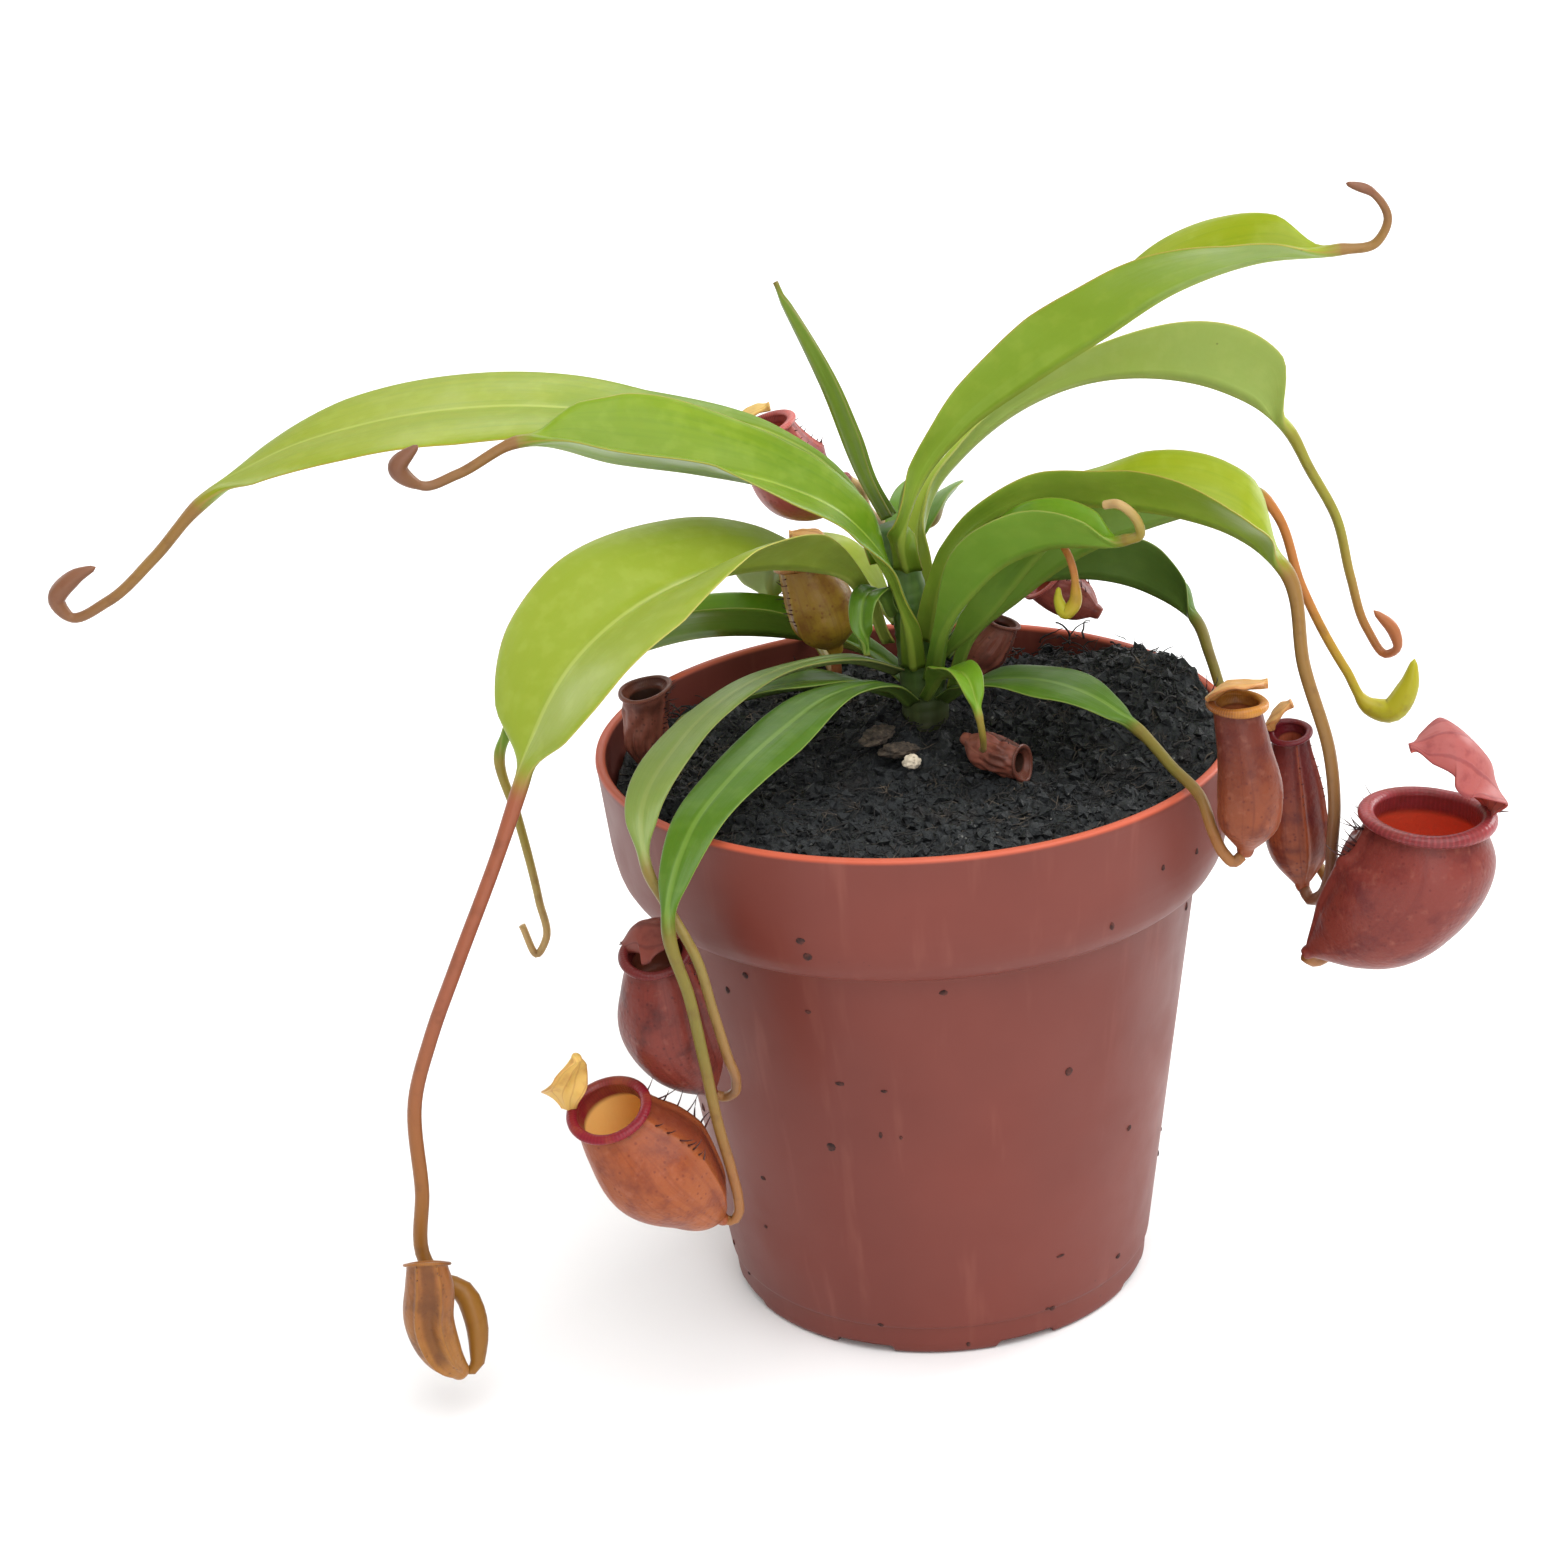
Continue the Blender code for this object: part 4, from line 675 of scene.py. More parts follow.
LEAVES = {
    "leaf_left_far": leaf(
        (104, 150), [(-6, 15, 110), (-10, 18, 116), (-18, 20.5, 121), (-39, 25, 124),
                     (-57, 28, 125.2), (-76, 31, 123), (-92, 32, 118.4), (-103, 32, 112)],
        [(-111, 32, 104), (-118.5, 31, 98), (-124.5, 31, 96), (-126, 31, 98.5),
         (-123, 31, 102), (-119.5, 31, 103.5)],
        13.4, 0.67, (15, 20, 8, 9, 8, 0), (15, 15, 1, -6, -5, -6), "bright", opening=0.5,
        tendril_radius=(1.1, 0.8), bud=(0.3, 1.6)),
    "leaf_left_middle": leaf(
        (90, 260), [(-0.3, 3.2, 99), (-1.8, 2.2, 104.5), (-3.8, 1.2, 109), (-8.4, 0.4, 115),
                    (-17, -1.2, 120.4), (-27, -3, 123.8), (-38, -5, 126.6), (-51, -7, 130.5)],
        [(-59.5, -9, 127), (-64, -10, 126), (-67, -11, 129), (-64, -11, 132)],
        11.2, 0.72, (15, 30, 42, 34, 38, 46, 38), (15, 0, -8, 3, 19, 22, 22), "green",
        tendril_radius=(0.9, 0.7), bud=(0.35, 1.5)),
    "leaf_left_broad": leaf(
        (93, 190), [(-5.5, 9, 99), (-8, 5, 104.4), (-13.5, -3, 109.3), (-19.5, -9, 111.8),
                    (-26, -14, 112.6), (-38.5, -24, 110), (-44.5, -28, 105.5), (-49, -31, 99),
                    (-52, -33, 91.5)],
        [(-55.5, -35, 83), (-62.5, -37, 67.5), (-67, -37, 57), (-70, -37, 48),
         (-70.5, -37, 34), (-71, -37, 22.5), (-69.3, -36.7, 19.4), (-66.4, -37.2, 17.9),
         (-64.9, -38.6, 14.6), (-64.7, -39.9, 10.8), (-65.4, -40.8, 7.8),
         (-67.05, -41.6, 7.35)],
        14.2, 0.68, (15, 33, 32, 26, 22, 18, 15), (20, 38, 42, 30, 10, 6, 6), "lime",
        tendril_radius=(1.1, 1.2), bud=(0.2, 1.9)),
    "leaf_left_back": leaf(
        (85, 120), [(-6.1, 22, 87), (-16.8, 29.5, 87.6), (-32.8, 33, 87.1), (-49.5, 33, 81.5),
                    (-63, 34, 69)],
        [(-61, 33, 59), (-59, 33, 45), (-58.5, 33, 38.5), (-60, 33, 36), (-62, 33, 41)],
        7.0, 0.5, (15, 35, 35, 30, 25), (15, 50, 50, 45, 40), "mid", across=15,
        tendril_radius=(0.9, 0.65)),
    "leaf_back_pale": leaf(
        (94, 118), [(-7.5, 25.5, 97.8), (-13, 30.5, 99), (-18, 35, 98), (-20.4, 39.5, 93.6),
                    (-20.3, 42.5, 88)],
        [(-18, 43, 84.6), (-14.5, 38.5, 83.4), (-12, 30, 82.4), (-11, 22, 83),
         (-10.8, 17.9, 86.4), (-10.85, 17.5, 89.4)],
        6.8, 0.66, (15, 20, 15, 10), (15, 20, 15, 10), "pale", across=15,
        tendril_radius=(0.8, 0.9)),
    "leaf_back_upper": leaf(
        (97, 100), [(-0.5, 19, 102), (2, 25, 106), (4.5, 33, 106.5), (5.5, 41, 104),
                    (5.5, 49, 100)],
        [(4.4, 51.6, 96.6), (0.6, 50.4, 96), (-3, 46.2, 98.6), (-5.4, 42, 102.6),
         (-6.3, 40, 106.4), (-7.9, 38.3, 108.3)],
        5.0, 0.5, (15, 30, 30, 25), (15, 30, 30, 25), "mid", across=15,
        tendril_radius=(0.8, 0.9)),
    "leaf_right_high": leaf(
        (104.5, 286), [(-0.4, 5, 110.3), (2.9, 5.2, 118.8), (8.5, 5, 125), (18.5, 4, 132.1),
                       (28, 3, 138), (38, 2, 144.2), (48, 1, 147.6), (59.5, 0, 148.6)],
        [(64.5, 0, 149.3), (66, 0, 152.3), (64, 0, 156), (60.5, 0, 157.5)],
        10.6, 0.68, (5, 50, 68, 66, 50, 30, 25), (5, 25, 22, 24, 20, 36, 60), "bright",
        petiole=2.2, opening=0.2, tendril_radius=(0.85, 0.55), bud=(0.25, 0.8)),
    "leaf_right_pale": leaf(
        (99, 68), [(2.5, 17, 108), (5, 19, 113.3), (8.5, 20.5, 116.8), (17, 23, 122.5),
                   (26.5, 26, 125.1), (36.5, 28, 124.9), (46, 29, 122.3), (56, 30, 115)],
        [(59, 30, 109), (63, 30, 101), (65, 30, 92), (67.5, 30, 83.5), (70, 28.5, 80),
         (71.5, 27, 81.5), (71, 27, 84), (68, 27, 87.5)],
        9.8, 0.82, (15, 60, 70, 72, 74, 72), (15, 30, 20, 15, 15, 15), "pale", petiole=2.2,
        tendril_radius=(0.95, 0.7), bud=(0.15, 1.1)),
    "leaf_right_middle": leaf(
        (94, 300), [(4.6, 3.8, 102.6), (7, 0, 109.6), (11.3, -3, 114.6), (18.5, -5, 117.8),
                    (27, -7, 117.4), (36.5, -9, 116.2), (44.5, -10, 113.2), (50.8, -10, 107.8)],
        [(53.1, -13, 94.5), (56.4, -13.5, 82), (57.2, -12.2, 74), (57.2, -9.8, 67),
         (57.1, -7, 60.4), (56.1, -4.2, 56.3), (54.9, -2.5, 55.2), (54.2, -1.65, 56.5)],
        11.0, 0.8, (15, 50, 55, 60, 50, 30, 15), (15, 25, 8, 14, 34, 33, 38), "bright",
        petiole=2.5, tendril_radius=(1.1, 1.0)),
    "leaf_right_long": leaf(
        (86, 340), [(9, 8.6, 94), (15, 7.6, 99.2), (23, 7.2, 105), (38.5, 9, 110),
                    (50, 10, 111.8)],
        [(52, 10, 109), (55.5, 10, 98), (61.7, 10, 85), (65.4, 9.5, 79.2), (67.8, 9, 78.8),
         (70.3, 9, 82), (71.3, 9, 86.5)],
        8.0, 0.55, (15, 60, 72, 72, 60), (15, 30, 35, 35, 30), "olive",
        opening=0.45, tendril_radius=(0.8, 0.8), bud=(0.3, 2.0)),
    "leaf_right_curled": leaf(
        (88, 294), [(5.0, 0.2, 98), (8.7, -5.3, 105.1), (13.3, -9, 110.6), (19, -12, 113.6),
                    (29, -17, 115.4)],
        [(31, -18.5, 116.6), (30.5, -19, 118.9), (28, -18.5, 121), (26.5, -17.5, 120.6)],
        6.8, 0.7, (15, 45, 60, 62, 55), (15, 35, 45, 60, 55), "mid", petiole=1.6, opening=0.5,
        tendril_radius=(0.8, 0.7)),
    "leaf_right_small": leaf(
        (91, 318), [(9.9, 2.1, 98.0), (14, -0.3, 103.6), (17.8, -3.2, 109), (20.6, -7.2, 112.7)],
        [(21.9, -9.5, 111.2), (22.7, -10.5, 107.2), (22.4, -11, 104.6), (21.2, -11, 103.5),
         (20.4, -10.5, 105), (20.4, -10.5, 107)],
        3.2, 0.5, (15, 60, 70, 60), (15, 30, 30, 30), "olive", across=15,
        petiole=1.2, tendril_radius=(0.6, 0.6), bud=(0.55, 1.1)),
    "leaf_right_dark": leaf(
        (89, 30), [(14, 19, 96.5), (26.5, 22.5, 97), (35, 23, 94.2), (41.5, 20, 90)],
        [(43, 16, 86), (45.5, 11, 77.5), (49, 9, 69), (53.5, 8, 62), (57.5, 4, 56.5),
         (59.5, -2, 53), (58.8, -6.8, 50.8), (56.4, -10.6, 50.0), (54.2, -12.6, 50.2),
         (52.9, -13.5, 51.5)],
        7.4, 0.7, (15, 60, 75, 72), (15, 30, 20, 15), "deep",
        tendril_radius=(0.9, 0.9)),
    "leaf_right_low": leaf(
        (84.5, 318), [(8, 1, 89), (18, -7, 92), (24, -12, 91.5), (30, -17, 88.5)],
        [(34.2, -24, 85.4), (37.4, -30, 83.3), (38.7, -33.6, 79.6), (39.8, -34.9, 77.4),
         (41.1, -35.2, 76.2), (42.2, -34.8, 76.9)],
        5.0, 0.55, (15, 10, 0, 0), (15, 10, 5, 5), "deep", across=15,
        tendril_radius=(0.9, 0.9)),
    "leaf_front_left": leaf(
        (84.5, 238), [(-3.5, 1, 89.5), (-11.5, -9, 92), (-17.5, -18, 91.3), (-24, -28, 89.2),
                      (-30, -38, 85), (-33, -48, 76)],
        [(-31, -48.5, 67), (-29.8, -48.2, 58), (-28.6, -46.8, 47), (-27.3, -45.2, 38.5),
         (-26.9, -44.1, 34.4), (-27.1, -43.3, 31.6), (-27.9, -43, 30.4),
         (-28.9, -43.05, 30.6)],
        4.6, 0.55, (15, 12, 0, 0, 0), (15, 10, -5, 0, 0), "deep",
        tendril_radius=(0.95, 0.8)),
    "leaf_front_grey": leaf(
        (89, 212), [(-8, 3, 93.2), (-20, -7, 94.8), (-31.5, -22, 91.6), (-36.5, -33, 86),
                    (-36, -38, 81)],
        [(-33, -43.8, 77.3), (-29.9, -46.6, 71.8), (-28.2, -45.4, 63), (-26.9, -43.6, 55.5),
         (-26.2, -40.4, 50.2), (-26.8, -38.4, 47.3), (-28.2, -37.4, 46.3),
         (-29.6, -37.65, 46.9)],
        3.3, 0.7, (15, 5, 0, 8, 8), (15, 10, 12, 5, 0), "grey", across=15,
        tendril_radius=(0.8, 0.8)),
    "leaf_front_low": leaf(
        (85, 195), [(-8, 4, 89), (-20, -2, 91), (-32, -4, 88)],
        [(-35.4, -3, 84), (-37.5, -0.4, 80.2)],
        3.6, 0.5, (15, 15, 10), (15, 20, 15), "deep", across=15,
        tendril_radius=(0.7, 0.7)),
    "leaf_centre_small": leaf(
        (98, 225), [(-4, 4, 102.5), (-5.8, 0.5, 102.8), (-6.5, -1.5, 99.5), (-6, -2, 95.5)],
        [], 2.2, 0.5, (20, 20, 15), (20, 20, 15), "deep", across=15,
        petiole=1.0, tendril_radius=(0.5, 0.5)),
    "leaf_front_tiny": leaf(
        (85.5, 276), [(4, -1, 91.5), (5.6, -7, 94), (7.6, -12.5, 94.8), (8.8, -16, 91.2)],
        [(9.2, -16, 88.4), (9.3, -14.4, 85.8), (9.1, -10.5, 84)],
        2.9, 0.62, (15, 20, 30, 25), (15, 20, 30, 25), "mid", across=15, petiole=1.1,
        tendril_radius=(0.6, 0.45)),
    "leaf_back_low": leaf(
        (86, 75), [(4, 22, 89.4), (9, 28.5, 90.6), (16, 34, 91)],
        [], 2.6, 0.5, (15, 20, 20), (15, 20, 20), "deep", across=15,
        tendril_radius=(0.6, 0.5)),
    "leaf_spear": leaf(
        None, [(-2.5, 10.7, 111), (-5.5, 12, 117), (-10, 14, 130), (-16, 16, 144.5)],
        [], 2.1, 0.35, (60, 78, 80, 70), (60, 78, 80, 70), "spear", across=15, petiole=1.8,
        tendril_radius=(0.4, 0.4), wave=0.05),
}

# Upper side, its second shade, underside, midrib, margin, tendril near the blade, tendril end
LEAF_LOOKS = {
    "bright": ((134, 148, 14), (96, 126, 8), (130, 156, 52), (176, 188, 84),
               (164, 138, 66), (138, 104, 56), (124, 84, 62)),
    "green": ((112, 138, 12), (72, 108, 6), (124, 150, 50), (166, 184, 76),
              (158, 140, 66), (132, 96, 56), (118, 80, 60)),
    "lime": ((136, 152, 46), (132, 150, 34), (126, 140, 60), (184, 194, 100),
             (176, 164, 88), (146, 84, 60), (138, 94, 38)),
    "pale": ((168, 184, 76), (150, 170, 58), (150, 170, 84), (190, 200, 112),
             (170, 164, 90), (138, 132, 50), (160, 98, 60)),
    "mid": ((98, 136, 20), (78, 114, 20), (110, 144, 50), (150, 170, 74),
            (140, 142, 68), (142, 126, 56), (176, 146, 96)),
    "olive": ((92, 128, 24), (72, 106, 20), (104, 134, 48), (140, 160, 70),
              (136, 134, 64), (170, 108, 52), (160, 154, 34)),
    "deep": ((74, 106, 26), (62, 94, 24), (90, 116, 50), (124, 152, 66),
             (140, 158, 78), (116, 104, 44), (146, 98, 56)),
    "grey": ((122, 140, 72), (92, 116, 52), (120, 128, 78), (150, 160, 92),
             (150, 148, 88), (130, 112, 58), (146, 104, 62)),
    "spear": ((100, 120, 26), (84, 108, 24), (98, 122, 36), (132, 146, 56),
              (118, 104, 48), (116, 82, 48), (116, 76, 50)),
}


def stem_start(height, compass, toward):
    """A leaf's first point, just off the stem: the steeper it leaves, the further off."""
    heights = [row[2] for row in STEM_AXIS]
    x, y, radius = (np.interp(height, heights, [row[i] for row in STEM_AXIS])
                    for i in (0, 1, 3))
    out = np.array((math.cos(math.radians(compass)), math.sin(math.radians(compass)), 0.0))
    surface = np.array((x, y, height)) + radius * out
    steepness = math.sqrt(max(1 - np.dot(unit(toward - surface), out) ** 2, 0.0))
    return tuple(surface + (0.6 + 0.8 * steepness) * out)


def half_blade(share, shape):
    """Half the blade's width: half_width * sin(pi * share ** power) ** 0.75, eased open.

    power puts the widest place at belly. The foot is never narrower than the petiole.
    """
    power = math.log(0.5) / math.log(shape["belly"])
    arch = np.sin(math.pi * np.clip(share, 0, 1) ** power).clip(0, 1)
    width = shape["half_width"] * arch ** 0.75
    width *= 0.15 + 0.85 * smooth_step(share, 0.0, shape["opening"])
    return np.maximum(np.hypot(width, shape["petiole"] * (1 - share)),
                      shape["tendril_radius"][0])


def tendril_turn(half):
    """Angles round the tendril's circle, in the order of the points round the blade."""
    return math.pi - (np.arange(2 * half) + 0.5) * math.pi / half


def blade_rings(share, shape):
    """Sideways and upward offsets round the blade's section, at each share of its length.

    u runs from -1 at the left margin to 1 at the right, over the top and back beneath. Each
    half rises from the midrib by its own angle, bows by BLADE_BOW * width * (|u| - u * u) and
    thins out to the margin, which ripples. The midrib is a groove above and a keel beneath.
    Near the tip the section turns into the tendril's circle.
    """
    half = shape["across"]
    angle = -math.pi / 2 + (np.arange(half) + 0.5) * math.pi / half
    u = np.concatenate((np.sin(angle), np.sin(angle[::-1])))
    top = np.concatenate((np.ones(half), -np.ones(half)))
    near = np.sqrt(u * u + FOLD_ROUNDING ** 2) - FOLD_ROUNDING * (1 - np.abs(u))
    right = np.radians(np.interp(share, np.linspace(0, 1, len(shape["right"])),
                                 shape["right"]))[:, None]
    left = np.radians(np.interp(share, np.linspace(0, 1, len(shape["left"])),
                                shape["left"]))[:, None]
    width = half_blade(share, shape)[:, None]
    lean = smooth_step(u, -2 * FOLD_ROUNDING, 2 * FOLD_ROUNDING)
    normal_x = -np.sin(right) * lean + np.sin(left) * (1 - lean)
    normal_z = np.cos(right) * lean + np.cos(left) * (1 - lean)
    size = np.hypot(normal_x, normal_z)
    normal_x, normal_z = normal_x / size, normal_z / size
    rise = np.where(u > 0, right, left)
    arm_x = u * width * np.cos(rise)
    arm_z = near * width * np.sin(rise)
    reach = np.abs(u) * width
    bow = BLADE_BOW * width * (np.abs(u) - u * u)
    ripple = shape["wave"] * np.abs(u) ** 3 * np.sin(
        share[:, None] * RIPPLE_TURN + np.where(u > 0, 0.6, 2.4))
    ripple = ripple * np.sin(math.pi * share)[:, None]
    edge = np.sqrt(1 - np.abs(u) ** 10)
    skin = MARGIN_HALF * edge + (RIB_THICKNESS / 2 - MARGIN_HALF) * np.exp(
        -(reach / 0.9) ** 2)
    keel = np.where(top < 0, KEEL_DEPTH * np.exp(-(reach / 0.6) ** 2), 0)
    groove = np.where(top > 0, KEEL_DEPTH * np.exp(-(reach / 0.45) ** 2), 0)
    offset = bow + ripple + top * (skin + keel - groove)
    x = arm_x + normal_x * offset
    z = arm_z + normal_z * offset
    turn = tendril_turn(half)
    radius = shape["tendril_radius"][0]
    rounding = smooth_step(share, ROUNDING_START, 1.0)[:, None]
    x = x * (1 - rounding) + radius * np.cos(turn) * rounding
    z = z * (1 - rounding) + radius * np.sin(turn) * rounding
    marks = np.stack(np.broadcast_arrays(u, 0.5 - 0.5 * top, reach), axis=-1)
    return np.stack((x, z), axis=-1), marks


def tendril_rings(share, shape):
    """Circles whose radius slims past the blade and tapers from start to end.

    A bud swells by half a sine wave near the end, and its tip is rounded.
    """
    start, end = shape["tendril_radius"]
    slim = 1 - TENDRIL_SLIMMING * smooth_step(share, 0.0, 0.12)
    radius = (start + (end - start) * share) * slim
    if shape["bud"]:
        length, thick = shape["bud"]
        within = np.clip((share - 1 + length) / length, 0, 1)
        radius = radius * (1 - 0.5 * within) + (thick - radius) * np.sin(math.pi * within)
        past = np.clip((share - TIP_START) / (1.0001 - TIP_START), 0, 1)
        radius = radius * np.sqrt(1 - past ** 2)
    radius = np.maximum(radius, LEAST_RADIUS)
    turn = tendril_turn(shape["across"])
    ring = radius[:, None, None] * np.stack((np.cos(turn), np.sin(turn)), axis=-1)
    marks = np.stack((np.cos(turn), 0.5 - 0.5 * np.sin(turn), np.ones_like(turn)), axis=-1)
    return ring, np.repeat(marks[None], len(share), axis=0)


def leaf_grid(shape, blade_points):
    """The section carried along the midrib: point = place + x * level + z * lift.

    Along the blade, level is along x up. Past the tip it is carried on without a twist.
    """
    points = blade_points + shape["tendril"]
    knots = knots_of(points)
    blade_length = knots[len(blade_points) - 1]
    runs = np.linspace(0, blade_length, LEAF_ROWS)
    rings, marks = blade_rings(runs / blade_length, shape)
    shares = runs / blade_length
    if shape["tendril"]:
        tail = np.linspace(blade_length, knots[-1], TENDRIL_ROWS + 1)[1:]
        tail_share = (tail - blade_length) / (knots[-1] - blade_length)
        more, more_marks = tendril_rings(tail_share, shape)
        runs = np.concatenate((runs, tail))
        rings, marks = np.concatenate((rings, more)), np.concatenate((marks, more_marks))
        shares = np.concatenate((shares, 1 + tail_share))
    place, along = curve_at(points, runs)
    level = np.empty_like(along)
    level[:LEAF_ROWS] = unit(np.cross(along[:LEAF_ROWS], UP))
    level[LEAF_ROWS - 1:] = carry(along[LEAF_ROWS - 1:], level[LEAF_ROWS - 1])
    lift = np.cross(level, along)
    grid = place[:, None] + rings[..., :1] * level[:, None] + rings[..., 1:] * lift[:, None]
    return grid, marks, np.repeat(shares[:, None], rings.shape[1], axis=1)


def leaf_finish(name, look):
    """Leaf skin: dark at the foot, partly painted shade, lighter beyond, with faint stripes,
    specks and mottling.

    The midrib and the margin are pale, and the tendril has its own tints. The fields are u
    across the blade, side (0 above, 1 beneath) and distance from the midrib in mm. share is 0
    to 1 along the blade and 1 to 2 along the tendril.
    """
    upper, second, under, rib, margin, tendril, tendril_end = (linear(*c) for c in look)
    mat = Finish(name, Subsurface_Weight=0.08, Subsurface_Scale=0.001, IOR=1.42,
                 Specular_IOR_Level=0.3)
    across, side, rib_mm = mat.fields("blade")
    share = mat.field("share")
    stripe = mat.noise(1.0, 3, 0.5, vector=mat.vector(
        mat.calc("MULTIPLY", across, 9.0), mat.calc("MULTIPLY", share, 1.2), side))
    cloud = mat.noise(55, 3, 0.5)
    opened = mat.calc("ADD", share, mat.calc("MULTIPLY_ADD", cloud, 0.7, -0.35))
    green = mat.blend(mat.between(opened, 0.12, 0.7), second, upper)
    green = mat.blend(mat.between(stripe, 0.45, 0.75, 0.0, 0.35), green, second)
    below = mat.blend(mat.between(cloud, 0.35, 0.7, 0.0, 0.35), under, second)
    colour = mat.blend(side, green, below)
    speck = mat.between(mat.cells(420), 0.10, 0.04)
    speck = mat.calc("MULTIPLY", speck, mat.between(mat.noise(45, 2), 0.60, 0.70))
    colour = mat.blend(mat.calc("MULTIPLY", speck, 0.7), colour, linear(70, 62, 28))
    colour = mat.blend(mat.between(mat.noise(380, 2), 0.45, 0.7, 0.0, 0.1), colour, rib)
    # Painted shade: near the stem the leaf's foot is darkened towards 0.55 of its second tint.
    shade = linear(*(0.55 * c for c in look[1]))
    colour = mat.blend(mat.between(share, 0.0, 0.2, 0.55, 0.0), colour, shade)
    colour = mat.blend(mat.between(rib_mm, 0.2, 0.55, 0.4, 0.0), colour, rib)
    rim = mat.between(mat.calc("ABSOLUTE", across), 0.97, 0.995, 0.0, 0.6)
    colour = mat.blend(rim, colour, margin)
    tip = mat.between(share, 0.95, 1.03)
    tail = mat.ramp(mat.calc("SUBTRACT", share, 1.0),
                    [(0.0, tendril), (0.35, tendril), (0.8, tendril_end)])
    flecks = mat.between(mat.noise(420, 3), 0.5, 0.75, 0.0, 0.3)
    tail = mat.blend(flecks, tail, linear(92, 56, 38))
    colour = mat.blend(tip, colour, tail)
    rough = mat.between(mat.noise(120, 3), 0.35, 0.7, 0.3, 0.42)
    relief = mat.calc("MULTIPLY_ADD", mat.noise(900, 2), 0.5, stripe)
    return mat.cover(colour, rough, relief, strength=0.22, depth=0.0002)


leaf_skins = {look: leaf_finish("leaf_skin_" + look, tints)
              for look, tints in LEAF_LOOKS.items()}
for name, shape in LEAVES.items():
    midrib = list(shape["blade"])
    if shape["base"]:
        midrib.insert(0, stem_start(*shape["base"], midrib[0]))
    grid, marks, share = leaf_grid(shape, midrib)
    points, faces = closed_grid(grid)
    blade = add_mesh(name + "_blade", points, faces, leaf_skins[shape["look"]],
                     {"blade": with_ends(marks), "share": with_ends(share)})
    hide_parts(name)

# Pitchers
# Fluid traps that grow from the tendrils' ends: a waxy cup with two fringed wings down its
# front and a glossy rolled rim, ribbed so that insects slip. Old ones dry up brown.

PITCHER_WALL = 0.9
WING_ANGLE = 0.46
WING_WIDTH = 0.085
CUP_ROWS = 56
RIM_ROWS = 17
HOLLOW_ROWS = 22
# (distance, share of the foot's radius) of the rings that draw the foot out to its tendril
STALK = ((1.15, 0.35), (1.1, 0.7), (0.8, 0.84), (0.4, 0.94))
# Radii along a hair, from root to tip
HAIR_RADII = np.linspace(0.16, 0.03, 5)


def pitcher(axis, mouth_normal, front, look, lip=0.9, depth=5.0, wing=0.6, neck=0.5,
            columns=72, fringe=(0.45, 0.95, 9, 1.2), wrinkle=0.0, groove=0.0):
    """One pitcher: its axis as (x, y, z, radius) from base to mouth, and its mouth.

    front is the side with the two wings, lip is the size of the rolled rim, depth is how far
    the hollow goes in, neck is how much the rim rises at the back, fringe is (start, end,
    hairs a wing, length), wrinkle is how deep a dried skin folds, and groove is how deep the
    front is pressed in.
    """
    return dict(axis=axis, mouth_normal=mouth_normal, front=front, look=look, lip=lip,
                depth=depth, wing=wing, neck=neck, columns=columns, fringe=fringe,
                wrinkle=wrinkle, groove=groove)


